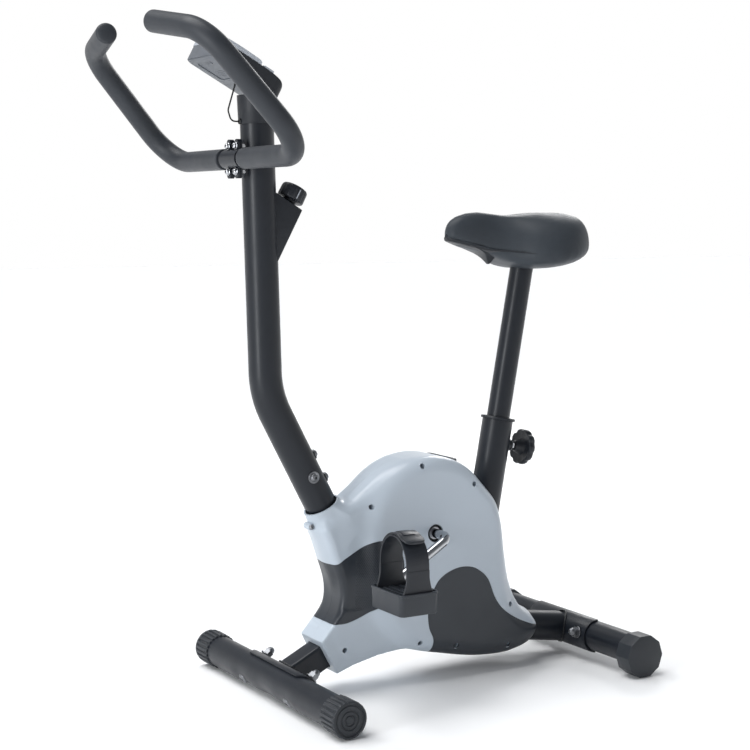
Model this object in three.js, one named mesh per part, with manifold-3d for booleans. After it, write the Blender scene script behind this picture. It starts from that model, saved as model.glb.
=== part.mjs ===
// Upright belt-driven exercise bike, in millimetres, +Z up, front towards -Y, rider's left on +X.
// Lengths along Y are worked out from the axis of the front foot tube and shifted at the end,
// so that the origin is on the floor under the middle of the machine.
import * as THREE from 'three';
import { mergeVertices } from 'three/addons/utils/BufferGeometryUtils.js';
import Module from 'manifold-3d';

const wasm = await Module();
wasm.setup();

// ---------------------------------------------------------------- driving dimensions
const GAP = 0.3; // clearance left between touching pieces
const ORIGIN_Y = 180.1; // middle of the machine, measured from the front foot tube

const POST_R = 25.4;
const POST_WALL = 1.8;
const POST_BEND_R = 150;
const POST_TOP = v(0, -24.1, 905);
const POST_KNEE = v(0, -11.7, 475.4);
const POST_END = v(0, 79.6, 302.6);
const STUB_R = POST_R - POST_WALL - GAP;
const STUB_WALL = 1.8;
const STUB_FOOT = v(0, 190, 94);

const MAIN_TUBE_R = 25.4;
const MAIN_TUBE_WALL = 2;
const MAIN_TUBE_FRONT = v(0, 168, 99.9);
const MAIN_TUBE_REAR = v(0, 546, 43.4);
const RAIL_SIDE = 40;
const RAIL_SLOPE = 26;
const RAIL_MIDDLE = v(0, 100, 69.2);

const FOOT_R = 25;
const FOOT_WALL = 2;
const SADDLE_PLATE = 3;
const FRONT_FOOT = { y: 0, z: 28.3, width: 474, boltX: 76, boltAngle: 38, plateHalf: 88 };
const REAR_FOOT = { y: 569.6, z: 39.5, width: 413, boltX: 62, boltAngle: 167, plateHalf: 80 };
const FRONT_CAP = { length: 42, radius: 28.3, ribDepth: 1.3, ribs: 24 };
const REAR_CAP = { length: 43, sides: 10, apothem: 33.9 };
const CAP_WALL = 4;

const CRANK = v(0, 261, 243);
const CRANK_BAR_R = 7.7;
const CRANK_ARM = v(0, -122.5, -67.5);
const CRANK_BEND_X = 88;
const PEDAL_EYE_X = 104;
const PEDAL = { x: 159, width: 89, length: 62, height: 30 };
const SPINDLE_R = 6.5;
const STRAP = { inner: 121, outer: 197, height: 75, width: 42, thick: 3, foot: 9 };

const FLYWHEEL = v(0, 278, 140);
const FLYWHEEL_R = 78;
const BRAKE_PEG = v(0, 335, 75);
const DRIVE_PULLEY_R = 72;
const SMALL_PULLEY_R = 20;
const BELT_X = [33, 43];
const BELT_THICK = 3;

const SEAT_AXIS = v(0, 0.1805, 0.9836).normalize();
const SEAT_TUBE_TOP = v(0, 418.6, 409.6);
const SEAT_TUBE_R = 25.4;
const SEAT_TUBE_WALL = 2;
const SEAT_TUBE_LENGTH = 335;
const SEAT_POST_R = 19.05;
const SEAT_POST_WALL = 1.8;
const SEAT_POST_TOP = v(0, 465.3, 663.6);
const SEAT_POST_LENGTH = 445;
const SEAT_KNOB_AT = v(0, 411.5, 371);
const SEAT_KNOB = { radius: 30, near: 53, thick: 15 };

const BAR_R = 11.1;
const BAR_WALL = 1.5;
const GRIP_R = 15.9;
const BAR_MIDDLE = v(0, -60.4, 831.6);
const BAR_LOWER = v(230, -60.4, 831.6);
const BAR_UPPER = v(209, -203, 994);
const BAR_TIP = v(86, -224, 1015);
const BAR_BEND_R = 58;
const GRIP_BORE_R = 11.8;
const GRIP_START_X = 34;
const CLAMP = { radius: 14, half: 27, boltZ: 21, boltX: 0 };

const TENSION = { half: 18, tilt: 29, knobR: 21, knobHeight: 22 };
const TENSION_TOP = v(0, 28.5, 767);

const CONSOLE_TILT = 28.5;
const CONSOLE_CORNER = v(0, -113, 975); // upper front edge of the console's back
const CONSOLE = { half: 50, length: 114, thick: 27, back: 6, wall: 2.2 };

const SHELL_WALL = 2.5;
const BODY_HALF = 55;
const NECK_HALF = 36;
const CRANK_HOLE_R = 14.5;

// ---------------------------------------------------------------- small helpers
function v(x, y, z) {
  return new THREE.Vector3(x, y, z);
}

function radians(degrees) {
  return degrees * Math.PI / 180;
}

// A closed geometry as a solid with its faces pointing out.
function solidOf(geometry) {
  const plain = geometry.index ? geometry.toNonIndexed() : geometry.clone();
  plain.deleteAttribute('normal');
  plain.deleteAttribute('uv');
  const merged = mergeVertices(plain, 1e-4);
  const position = merged.attributes.position;
  const corners = merged.index.array;
  const kept = [];
  let volume = 0;
  const [a, b, c] = [v(0, 0, 0), v(0, 0, 0), v(0, 0, 0)];
  for (let i = 0; i < corners.length; i += 3) {
    const [p, q, r] = corners.slice(i, i + 3);
    if (p === q || q === r || r === p) continue;
    kept.push([p, q, r]);
    a.fromBufferAttribute(position, p);
    b.fromBufferAttribute(position, q);
    c.fromBufferAttribute(position, r);
    volume += a.dot(b.cross(c));
  }
  const order = volume < 0 ? kept.map(([p, q, r]) => [p, r, q]) : kept;
  return new wasm.Manifold(new wasm.Mesh({
    numProp: 3,
    vertProperties: new Float32Array(position.array),
    triVerts: new Uint32Array(order.flat()),
  }));
}

function geometryOf(solid) {
  const mesh = solid.getMesh();
  const geometry = new THREE.BufferGeometry();
  const positions = new Float32Array(mesh.numVert * 3);
  for (let i = 0; i < mesh.numVert; i++) {
    for (let k = 0; k < 3; k++) positions[3 * i + k] = mesh.vertProperties[i * mesh.numProp + k];
  }
  geometry.setAttribute('position', new THREE.BufferAttribute(positions, 3));
  geometry.setIndex(new THREE.BufferAttribute(new Uint32Array(mesh.triVerts), 1));
  geometry.computeVertexNormals();
  return geometry;
}

function join(...solids) {
  return solids.reduce((sum, solid) => sum.add(solid));
}

function cut(solid, ...tools) {
  return tools.reduce((rest, tool) => rest.subtract(tool), solid);
}

function box(x0, x1, y0, y1, z0, z1) {
  const geometry = new THREE.BoxGeometry(x1 - x0, y1 - y0, z1 - z0);
  geometry.translate((x0 + x1) / 2, (y0 + y1) / 2, (z0 + z1) / 2);
  return solidOf(geometry);
}

// A profile of [radius, height] points turned about an axis that starts at a point.
function turned(profile, at, axis, sides = 20) {
  const lathe = new THREE.LatheGeometry(profile.map(([r, h]) => new THREE.Vector2(r, h)), sides);
  lathe.applyQuaternion(new THREE.Quaternion().setFromUnitVectors(v(0, 1, 0), axis.clone().normalize()));
  lathe.translate(at.x, at.y, at.z);
  return solidOf(lathe);
}

// A round bar, or with an inner radius a tube, from one point to another.
function rod(from, to, radius, { inner = 0, sides = 20 } = {}) {
  const axis = to.clone().sub(from);
  const length = axis.length();
  const profile = inner > 0
    ? [[inner, 0], [radius, 0], [radius, length], [inner, length], [inner, 0]]
    : [[0, 0], [radius, 0], [radius, length], [0, length]];
  return turned(profile, from, axis, sides);
}

const ACROSS = new THREE.Matrix4().makeBasis(v(0, 1, 0), v(0, 0, 1), v(1, 0, 0));

// An outline drawn in Y and Z, extruded along X from x0 to x1 with rounded edges.
function slab(shape, x0, x1, { edge = 0, segments = 2, grow = 0, curve = 3, place = ACROSS } = {}) {
  const geometry = new THREE.ExtrudeGeometry(shape, {
    depth: x1 - x0 - 2 * edge,
    steps: 1,
    curveSegments: curve,
    bevelEnabled: edge > 0,
    bevelThickness: edge,
    bevelSize: edge,
    bevelOffset: grow - edge,
    bevelSegments: segments,
  });
  geometry.translate(0, 0, x0 + edge);
  geometry.applyMatrix4(place);
  return solidOf(geometry);
}

function outline(points) {
  return new THREE.Shape(points.map(([a, b]) => new THREE.Vector2(a, b)));
}

function roundedRectangle(width, height, radius) {
  const [w, h] = [width / 2 - radius, height / 2 - radius];
  const shape = new THREE.Shape();
  shape.absarc(w, h, radius, 0, Math.PI / 2);
  shape.absarc(-w, h, radius, Math.PI / 2, Math.PI);
  shape.absarc(-w, -h, radius, Math.PI, 1.5 * Math.PI);
  shape.absarc(w, -h, radius, 1.5 * Math.PI, 2 * Math.PI);
  return shape;
}

function ringSection(radius, inner, sides) {
  const circle = r => Array.from({ length: sides }, (_, i) => {
    const turn = 2 * Math.PI * i / sides;
    return new THREE.Vector2(r * Math.cos(turn), r * Math.sin(turn));
  });
  const shape = new THREE.Shape(circle(radius));
  if (inner > 0) shape.holes.push(new THREE.Path(circle(inner)));
  return shape;
}

// A path of straight runs joined by arcs, with a station only where the section has to turn.
class BentPath extends THREE.Curve {
  constructor(points, radius, perBend = 5) {
    super();
    this.stations = [{ at: points[0], along: points[1].clone().sub(points[0]).normalize() }];
    for (let i = 1; i < points.length - 1; i++) {
      this.bend(points[i - 1], points[i], points[i + 1], radius, perBend);
    }
    const [end, before] = [points[points.length - 1], points[points.length - 2]];
    this.stations.push({ at: end, along: end.clone().sub(before).normalize() });
  }

  bend(before, corner, after, radius, perBend) {
    const into = corner.clone().sub(before).normalize();
    const out = after.clone().sub(corner).normalize();
    const angle = into.angleTo(out);
    const room = 0.48 * Math.min(corner.distanceTo(before), corner.distanceTo(after));
    const reach = Math.min(radius * Math.tan(angle / 2), room);
    const used = reach / Math.tan(angle / 2);
    const side = out.clone().addScaledVector(into, -out.dot(into)).normalize();
    const start = corner.clone().addScaledVector(into, -reach);
    for (let k = 0; k <= perBend; k++) {
      const turn = angle * k / perBend;
      const at = start.clone().addScaledVector(into, used * Math.sin(turn))
        .addScaledVector(side, used * (1 - Math.cos(turn)));
      const along = into.clone().multiplyScalar(Math.cos(turn)).addScaledVector(side, Math.sin(turn));
      this.stations.push({ at, along });
    }
  }

  station(u) {
    return this.stations[Math.round(u * (this.stations.length - 1))];
  }

  getPoint(u) {
    return this.station(u).at.clone();
  }

  getPointAt(u) {
    return this.getPoint(u);
  }

  getTangent(u) {
    return this.station(u).along.clone();
  }

  getTangentAt(u) {
    return this.getTangent(u);
  }
}

function sweep(path, radius, { inner = 0, sides = 12 } = {}) {
  const geometry = new THREE.ExtrudeGeometry(ringSection(radius, inner, sides), {
    extrudePath: path,
    steps: path.stations.length - 1,
    bevelEnabled: false,
  });
  return solidOf(geometry);
}

class Helix extends THREE.Curve {
  constructor(from, to, radius, turns) {
    super();
    Object.assign(this, { from, run: to.clone().sub(from), radius, turns });
  }

  getPoint(t, target = v(0, 0, 0)) {
    const phase = 2 * Math.PI * this.turns * t;
    const across = v(0, this.run.z, -this.run.y).normalize();
    return target.copy(this.from).addScaledVector(this.run, t)
      .addScaledVector(v(1, 0, 0), this.radius * Math.cos(phase))
      .addScaledVector(across, this.radius * Math.sin(phase));
  }
}

const pieces = [];

function piece(name, solid, color, roughness, metalness = 0) {
  pieces.push({ name, solid, color, roughness, metalness });
}

const PAINT = [0x34383d, 0.45, 0.3];
const BLACK_PLASTIC = [0x24272a, 0.55, 0];
const DARK_PLASTIC = [0x43484e, 0.5, 0];
const SHELL_PLASTIC = [0xd5dce4, 0.25, 0];
const CHROME = [0xc9ccd0, 0.18, 1];
const STEEL = [0x8f9296, 0.4, 0.9];
const FOAM = [0x3c4147, 0.85, 0];
const VINYL = [0x2a2e33, 0.5, 0];

const RIGHTWARD = v(1, 0, 0);
const mainAxis = MAIN_TUBE_REAR.clone().sub(MAIN_TUBE_FRONT).normalize();
const mainAt = y => MAIN_TUBE_FRONT.clone().addScaledVector(mainAxis, (y - MAIN_TUBE_FRONT.y) / mainAxis.y);
const stubAxis = STUB_FOOT.clone().sub(POST_END).normalize();
const rearOfStub = v(0, -stubAxis.z, stubAxis.y);
const stubAt = z => POST_END.clone().addScaledVector(stubAxis, (z - POST_END.z) / stubAxis.z);

// ---------------------------------------------------------------- welded frame
// Part of a round shell over a foot tube, between two angles from rearward (+Y) over the top (+Z).
function saddlePlate(foot, fromAngle, toAngle, half) {
  const inner = FOOT_R - 2;
  const outer = FOOT_R + GAP + SADDLE_PLATE;
  const shape = new THREE.Shape();
  shape.absarc(foot.y, foot.z, outer, radians(fromAngle), radians(toAngle), false);
  shape.absarc(foot.y, foot.z, inner, radians(toAngle), radians(fromAngle), true);
  return slab(shape, -half, half, { curve: 6 });
}

function boltLine(foot) {
  return v(0, Math.cos(radians(foot.boltAngle)), Math.sin(radians(foot.boltAngle)));
}

function footBoltHole(foot, side) {
  const middle = v(side * foot.boltX, foot.y, foot.z);
  const along = boltLine(foot);
  const [start, end] = [-60, 60].map(d => middle.clone().addScaledVector(along, d));
  return rod(start, end, 4.4, { sides: 12 });
}

function tiltedBox(middle, slope, along, across, half) {
  const geometry = new THREE.BoxGeometry(2 * half, along[1] - along[0], across);
  geometry.translate(0, (along[0] + along[1]) / 2, 0);
  geometry.rotateX(radians(slope));
  geometry.translate(middle.x, middle.y, middle.z);
  return solidOf(geometry);
}

const hubAxle = { from: v(-28, FLYWHEEL.y, FLYWHEEL.z), to: v(28, FLYWHEEL.y, FLYWHEEL.z) };

function baseFrame() {
  const tube = rod(MAIN_TUBE_FRONT, MAIN_TUBE_REAR, MAIN_TUBE_R);
  const tubeBore = rod(mainAt(150), mainAt(540), MAIN_TUBE_R - MAIN_TUBE_WALL);
  const rail = tiltedBox(RAIL_MIDDLE, RAIL_SLOPE, [-88, 80], RAIL_SIDE, RAIL_SIDE / 2);
  const railBore = tiltedBox(RAIL_MIDDLE, RAIL_SLOPE, [-70, 80], RAIL_SIDE - 4, RAIL_SIDE / 2 - 2);
  const hub = rod(hubAxle.from, hubAxle.to, 13);
  const web = box(-14, 14, FLYWHEEL.y - 11, FLYWHEEL.y + 11, 96, 134);
  const pegAt = x => v(x, BRAKE_PEG.y, BRAKE_PEG.z);
  const brakePeg = rod(pegAt(-20), pegAt(-45), 3.5, { sides: 10 });
  const front = cut(saddlePlate(FRONT_FOOT, -8, 100, FRONT_FOOT.plateHalf), cornerCuts(1), cornerCuts(-1));
  const rear = saddlePlate(REAR_FOOT, 84, 266, REAR_FOOT.plateHalf);
  const footSpace = foot => rod(v(-120, foot.y, foot.z), v(120, foot.y, foot.z), FOOT_R + GAP);
  const welded = join(tube, rail, hub, web, brakePeg, front, rear);
  const body = cut(welded, footSpace(FRONT_FOOT), footSpace(REAR_FOOT));
  const holes = [1, -1].flatMap(side => [footBoltHole(FRONT_FOOT, side), footBoltHole(REAR_FOOT, side)]);
  const axle = rod(v(-30, FLYWHEEL.y, FLYWHEEL.z), v(30, FLYWHEEL.y, FLYWHEEL.z), 6.4, { sides: 16 });
  return cut(body, tubeBore, railBore, axle, ...holes);
}

// The front saddle plate narrows towards its front edge.
function cornerCuts(side) {
  const corner = outline([[side * 95, -12], [side * 95, 14], [side * 84, 4], [side * 70, -12]]);
  return slab(corner, 40, 70, { place: new THREE.Matrix4() });
}

function postBolts() {
  return {
    rear_upper: { at: stubAt(366), along: rearOfStub },
    rear_lower: { at: stubAt(329), along: rearOfStub },
  };
}

const throughBoltAt = stubAt(346);
const leadPath = new BentPath([
  v(0, -54, 956), v(0, -60, 938), v(0, -71, 903), v(0, -66, 887), v(0, -46, 887), v(-7, -30, 868),
  v(-7, -22, 680), v(-7, -20, 470), v(-7, 76, 285), v(-18, 124, 262), v(-40, 196, 250), v(-40, 222, 241),
], 9, 2);
const cablePath = new BentPath([
  v(0, 17.5, 747), v(0, 8, 728), v(4, -10, 705), v(7, -20, 680), v(7, -20, 470), v(7, 76, 285),
  v(7, 118, 215), v(-8, 150, 172), v(-40, 179, 160),
], 9, 2);
const LEAD_R = 1.5;
const CABLE_R = 1.6;
const cableWays = [[leadPath, LEAD_R], [cablePath, CABLE_R]]
  .map(([path, radius]) => sweep(path, radius + 1.3, { sides: 6 }));

function boltHoles() {
  const rear = Object.values(postBolts()).map(({ at, along }) => (
    rod(at.clone().addScaledVector(along, 10), at.clone().addScaledVector(along, 40), 4.4, { sides: 12 })));
  const boltLine = x => v(x, throughBoltAt.y, throughBoltAt.z);
  const across = rod(boltLine(-40), boltLine(40), 4.4, { sides: 12 });
  return [...rear, across];
}

function postStub() {
  const tube = rod(stubAt(388), STUB_FOOT, STUB_R, { inner: STUB_R - STUB_WALL });
  const space = rod(mainAt(120), mainAt(300), MAIN_TUBE_R + GAP);
  const rail = tiltedBox(RAIL_MIDDLE, RAIL_SLOPE, [-88, 80 + GAP], RAIL_SIDE + 2 * GAP, RAIL_SIDE / 2 + GAP);
  const below = box(-60, 60, 100, 260, 0, 60);
  return largest(cut(tube, space, rail, below, ...boltHoles(), ...cableWays));
}

// Keeps the main body after a cut that leaves an offcut on the other side of the tool.
function largest(solid) {
  return solid.decompose().reduce((best, part) => (part.volume() > best.volume() ? part : best));
}

const seatDown = distance => SEAT_TUBE_TOP.clone().addScaledVector(SEAT_AXIS, -distance);
const knobAxis = v(0, SEAT_AXIS.z, -SEAT_AXIS.y);
const knobAt = distance => SEAT_KNOB_AT.clone().addScaledVector(knobAxis, distance);

function seatTube() {
  const outer = rod(seatDown(SEAT_TUBE_LENGTH), SEAT_TUBE_TOP, SEAT_TUBE_R);
  const bore = rod(seatDown(SEAT_TUBE_LENGTH + 5), seatDown(-5), SEAT_TUBE_R - SEAT_TUBE_WALL);
  const boss = rod(knobAt(23), knobAt(33), 9.5, { sides: 18 });
  const pinHole = rod(knobAt(18), knobAt(40), 5.3, { sides: 12 });
  const space = rod(mainAt(300), mainAt(440), MAIN_TUBE_R + GAP);
  return largest(cut(join(outer, boss), bore, pinHole, space));
}

function bottomBracket() {
  const shell = rod(v(-28, CRANK.y, CRANK.z), v(28, CRANK.y, CRANK.z), 21);
  const brace = box(-12, 12, 100, 395, CRANK.z - 12, CRANK.z + 12);
  const bore = rod(v(-30, CRANK.y, CRANK.z), v(30, CRANK.y, CRANK.z), 17.5);
  const stubSpace = rod(stubAt(320), stubAt(160), STUB_R + GAP);
  const seatSpace = rod(seatDown(260), seatDown(100), SEAT_TUBE_R + GAP);
  return largest(cut(join(shell, brace), bore, stubSpace, seatSpace, cableWays[0]));
}

piece('base_frame', baseFrame(), ...PAINT);
piece('post_stub', postStub(), ...PAINT);
piece('seat_tube', seatTube(), ...PAINT);
piece('bottom_bracket', bottomBracket(), ...PAINT);

// ---------------------------------------------------------------- feet
function footTube(foot) {
  const end = foot.width / 2 - CAP_WALL - GAP;
  const tube = rod(v(-end, foot.y, foot.z), v(end, foot.y, foot.z), FOOT_R, { inner: FOOT_R - FOOT_WALL });
  return cut(tube, footBoltHole(foot, 1), footBoltHole(foot, -1));
}

function footBolt(foot, side) {
  const plateTop = FOOT_R + GAP + SADDLE_PLATE + GAP;
  const profile = [
    [0, -30.5], [6, -29.5], [9, -26.6], [9, -25.3], [4, -25.3], [4, plateTop], [9, plateTop],
    [9, plateTop + 1.6], [7.2, plateTop + 1.6], [7.2, plateTop + 9], [5.2, plateTop + 14],
    [0, plateTop + 16],
  ];
  return turned(profile, v(side * foot.boltX, foot.y, foot.z), boltLine(foot), 12);
}

function ribbedSection() {
  const points = [];
  for (let i = 0; i < 2 * FRONT_CAP.ribs; i++) {
    const radius = FRONT_CAP.radius - (i % 2 ? FRONT_CAP.ribDepth : 0);
    const turn = -Math.PI / 2 + Math.PI * i / FRONT_CAP.ribs;
    points.push([FRONT_FOOT.y + radius * Math.cos(turn), FRONT_FOOT.z + radius * Math.sin(turn)]);
  }
  return outline(points);
}

function endCap(foot, shape, side, length) {
  const outer = foot.width / 2;
  const ends = side > 0 ? [outer - length, outer] : [-outer, -outer + length];
  const bore = side > 0 ? [outer - length - 1, outer - CAP_WALL] : [-outer + CAP_WALL, -outer + length + 1];
  const hollow = rod(v(bore[0], foot.y, foot.z), v(bore[1], foot.y, foot.z), FOOT_R + GAP);
  return cut(slab(shape, ...ends), hollow);
}

function levellingSection() {
  const radius = REAR_CAP.apothem / Math.cos(Math.PI / REAR_CAP.sides);
  const points = Array.from({ length: REAR_CAP.sides }, (_, i) => {
    const turn = -Math.PI / 2 + 2 * Math.PI * (i + 0.5) / REAR_CAP.sides;
    return [REAR_FOOT.y + radius * Math.cos(turn), REAR_CAP.apothem + radius * Math.sin(turn)];
  });
  return outline(points);
}

piece('front_foot_tube', footTube(FRONT_FOOT), ...PAINT);
piece('rear_foot_tube', footTube(REAR_FOOT), ...PAINT);
for (const [hand, side] of [['left', 1], ['right', -1]]) {
  const frontCap = endCap(FRONT_FOOT, ribbedSection(), side, FRONT_CAP.length);
  const rearCap = endCap(REAR_FOOT, levellingSection(), side, REAR_CAP.length);
  piece(`front_end_cap_${hand}`, frontCap, ...BLACK_PLASTIC);
  piece(`rear_levelling_cap_${hand}`, rearCap, ...BLACK_PLASTIC);
  piece(`front_foot_bolt_${hand}`, footBolt(FRONT_FOOT, side), ...CHROME);
  piece(`rear_foot_bolt_${hand}`, footBolt(REAR_FOOT, side), ...CHROME);
}

// ---------------------------------------------------------------- front post and its bolts
const postPath = new BentPath([POST_TOP, POST_KNEE, POST_END], POST_BEND_R, 5);
const postUp = POST_TOP.clone().sub(POST_KNEE).normalize();
const postAt = z => POST_KNEE.clone().addScaledVector(postUp, (z - POST_KNEE.z) / postUp.z);

function clampChannel() {
  const end = x => v(x, BAR_MIDDLE.y, BAR_MIDDLE.z);
  return rod(end(-CLAMP.half), end(CLAMP.half), CLAMP.radius);
}

// The rear half of the handlebar clamp, welded to the front of the post.
function clampSaddle() {
  const channel = clampChannel();
  const rearHalf = box(-60, 60, BAR_MIDDLE.y + GAP, 0, 780, 880);
  const ears = box(-12, 12, BAR_MIDDLE.y + GAP, BAR_MIDDLE.y + 3, BAR_MIDDLE.z - 28, BAR_MIDDLE.z + 28);
  const gusset = box(-10, 10, BAR_MIDDLE.y + 3, BAR_MIDDLE.y + 22, BAR_MIDDLE.z - 14, BAR_MIDDLE.z + 14);
  return join(channel.intersect(rearHalf), ears, gusset);
}

function clampBoltHole(side) {
  const z = BAR_MIDDLE.z + side * CLAMP.boltZ;
  return rod(v(CLAMP.boltX, BAR_MIDDLE.y - 20, z), v(CLAMP.boltX, BAR_MIDDLE.y + 12, z), 3.4, { sides: 12 });
}

const barBore = rod(v(-60, BAR_MIDDLE.y, BAR_MIDDLE.z), v(60, BAR_MIDDLE.y, BAR_MIDDLE.z), BAR_R + GAP);
const postBore = sweep(new BentPath([
  POST_TOP.clone().addScaledVector(postUp, 5), POST_KNEE, POST_END.clone().addScaledVector(stubAxis, 5),
], POST_BEND_R, 5), POST_R - POST_WALL, { sides: 20 });

function frontPost() {
  const outer = join(sweep(postPath, POST_R, { sides: 20 }), clampSaddle());
  const ways = [postBore, barBore, clampBoltHole(1), clampBoltHole(-1), ...boltHoles(), ...cableWays];
  return largest(cut(outer, ...ways));
}

const boltHead = [[6.2, 0], [6.2, 2.4], [4.2, 4.4], [0, 5]];

function rearPostBolt({ at, along }) {
  const out = POST_R + GAP;
  const profile = [[0, out - 10], [4, out - 10], [4, out], [9, out], [9, out + 1.5],
    ...boltHead.map(([r, h]) => [r, h + out + 1.5])];
  return turned(profile, at, along, 12);
}

function throughBolt() {
  const out = POST_R + GAP;
  const head = [[9, out], [9, out + 1.5], ...boltHead.map(([r, h]) => [r, h + out + 1.5])];
  const profile = [...head.map(([r, h]) => [r, -h]).reverse(), [4, -out], [4, out], ...head];
  return turned(profile, throughBoltAt, RIGHTWARD, 12);
}

function clampBolt(side) {
  const z = BAR_MIDDLE.z + side * CLAMP.boltZ;
  const front = 4 + 2 * GAP;
  const profile = [[0, -9.5], [5.5, -9.5], [5.5, -4 + GAP], [3, -4 + GAP], [3, front],
    [7, front], [7, front + 1.4],
    [5.2, front + 1.4], [5.2, front + 4.5], [3.6, front + 6], [0, front + 6.4]];
  return turned(profile, v(CLAMP.boltX, BAR_MIDDLE.y, z), v(0, -1, 0), 12);
}

function clampCap() {
  const channel = clampChannel();
  const frontHalf = box(-60, 60, -120, BAR_MIDDLE.y - GAP, 780, 880);
  const ears = box(-12, 12, BAR_MIDDLE.y - 4, BAR_MIDDLE.y - GAP, BAR_MIDDLE.z - 28, BAR_MIDDLE.z + 28);
  return cut(join(channel.intersect(frontHalf), ears), barBore, clampBoltHole(1), clampBoltHole(-1));
}

piece('front_post', frontPost(), ...PAINT);
for (const [name, bolt] of Object.entries(postBolts())) {
  piece(`post_bolt_${name}`, rearPostBolt(bolt), ...CHROME);
}
piece('post_through_bolt', throughBolt(), ...CHROME);
piece('handlebar_clamp_cap', clampCap(), ...BLACK_PLASTIC);
piece('clamp_bolt_upper', clampBolt(1), ...CHROME);
piece('clamp_bolt_lower', clampBolt(-1), ...CHROME);

// ---------------------------------------------------------------- handlebar
const mirrored = point => v(-point.x, point.y, point.z);
const barPath = new BentPath([
  BAR_TIP, BAR_UPPER, BAR_LOWER, mirrored(BAR_LOWER), mirrored(BAR_UPPER), mirrored(BAR_TIP),
], BAR_BEND_R, 4);

function grip(side) {
  const place = point => v(side * point.x, point.y, point.z);
  const tipAlong = BAR_TIP.clone().sub(BAR_UPPER).normalize();
  const past = BAR_TIP.clone().addScaledVector(tipAlong, 1.5);
  const path = new BentPath([
    v(side * GRIP_START_X, BAR_MIDDLE.y, BAR_MIDDLE.z), place(BAR_LOWER), place(BAR_UPPER), place(past),
  ], BAR_BEND_R, 4);
  const along = place(tipAlong);
  const domeProfile = [[0, GAP], [GRIP_R, GAP], [GRIP_R, 3], [12.5, 5.4], [0, 7.2]];
  const dome = turned(domeProfile, place(BAR_TIP), along, 12);
  return join(sweep(path, GRIP_R, { inner: GRIP_BORE_R }), dome);
}

piece('handlebar_tube', sweep(barPath, BAR_R, { inner: BAR_R - BAR_WALL }), ...PAINT);
piece('handlebar_grip_left', grip(1), ...FOAM);
piece('handlebar_grip_right', grip(-1), ...FOAM);

// ---------------------------------------------------------------- console
// Console pieces are drawn on its tilted face: x across, y down the face from its upper front
// edge, z out of the face from the flat back.
const consoleTurn = new THREE.Matrix4()
  .makeRotationX(radians(-CONSOLE_TILT)).setPosition(CONSOLE_CORNER);

function panel(shape, z0, z1, options = {}) {
  return slab(shape, z0, z1, { place: consoleTurn, ...options });
}

function centredRectangle(middle, width, height, radius = 3) {
  const points = roundedRectangle(width, height, radius).getPoints(2);
  return outline(points.map(point => [point.x, point.y + middle]));
}

const LENS = { middle: 42, width: 66, height: 38 };
const BUTTON = { down: 97, radius: 6 };
const BATTERY = { middle: 30, width: 58, height: 38 };
const consoleMiddle = CONSOLE.length / 2;
const facePlateLength = 82;

function consoleBack() {
  const plate = panel(centredRectangle(consoleMiddle, 2 * CONSOLE.half, CONSOLE.length, 12), 0, CONSOLE.back);
  const well = panel(centredRectangle(BATTERY.middle, BATTERY.width, BATTERY.height), -1, 3);
  const wellPlan = centredRectangle(BATTERY.middle, BATTERY.width - 8, BATTERY.height - 8);
  const wellFloor = panel(wellPlan, 2, CONSOLE.back + 1);
  return cut(plate, well, wellFloor, cableWays[0]);
}

function consoleHousing() {
  const full = centredRectangle(consoleMiddle, 2 * CONSOLE.half, CONSOLE.length, 12);
  const [width, length] = [2 * CONSOLE.half, CONSOLE.length].map(size => size - 2 * CONSOLE.wall);
  const inside = centredRectangle(consoleMiddle, width, length, 10);
  const window = panel(centredRectangle(LENS.middle, LENS.width - 6, LENS.height - 6), 20, 30);
  const buttonHole = panel(circle(0, BUTTON.down, BUTTON.radius + 0.4), 20, 30, { curve: 8 });
  return cut(
    panel(full, CONSOLE.back + GAP, CONSOLE.thick),
    panel(inside, CONSOLE.back - 1, CONSOLE.thick - CONSOLE.wall),
    window, buttonHole,
  );
}

function circle(x, y, radius) {
  const shape = new THREE.Shape();
  shape.absarc(x, y, radius, 0, 2 * Math.PI);
  return shape;
}

function consoleFace() {
  const plate = panel(centredRectangle(facePlateLength / 2, 2 * CONSOLE.half, facePlateLength, 10),
    CONSOLE.thick + GAP, CONSOLE.thick + 5.5, { edge: 1.5, segments: 1 });
  return cut(plate, panel(centredRectangle(LENS.middle, LENS.width, LENS.height), 20, 40));
}

function consoleBracket() {
  const bottom = postAt(884.5);
  const length = 52;
  const sleeve = turned([[0, 0], [27.9, 0], [28.8, length], [0, length]], bottom, postUp);
  const bore = rod(postAt(880), postAt(909), POST_R + 0.4);
  const above = panel(centredRectangle(60, 260, 260), -GAP, 90);
  const flat = box(-60, 60, -90, 40, 926, 990);
  return largest(cut(sleeve, bore, above, flat, ...cableWays));
}

piece('console_bracket', consoleBracket(), ...BLACK_PLASTIC);
piece('console_back_shell', consoleBack(), 0x8d949b, 0.5);
piece('console_housing', consoleHousing(), ...BLACK_PLASTIC);
piece('console_face', consoleFace(), 0xc9ced5, 0.3);
piece('console_lens', panel(centredRectangle(LENS.middle, LENS.width - 2 * GAP, LENS.height - 2 * GAP),
  CONSOLE.thick + GAP, CONSOLE.thick + 3), 0x222a2e, 0.08);
piece('console_circuit_board', panel(centredRectangle(60, 84, 96, 2), 15, 16.6), 0x2f5d43, 0.6);
piece('console_button', panel(circle(0, BUTTON.down, BUTTON.radius), 19, 30, { curve: 8 }), 0x9b2f2b, 0.5);
piece('console_battery_cover', panel(
  centredRectangle(BATTERY.middle, BATTERY.width - 2 * GAP, BATTERY.height - 2 * GAP),
  0, 3 - GAP), 0x858c93, 0.5);
piece('console_lead', sweep(leadPath, LEAD_R, { sides: 6 }), 0x15171a, 0.6);

// ---------------------------------------------------------------- tension unit
const tensionUp = v(0, Math.sin(radians(TENSION.tilt)), Math.cos(radians(TENSION.tilt)));

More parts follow.
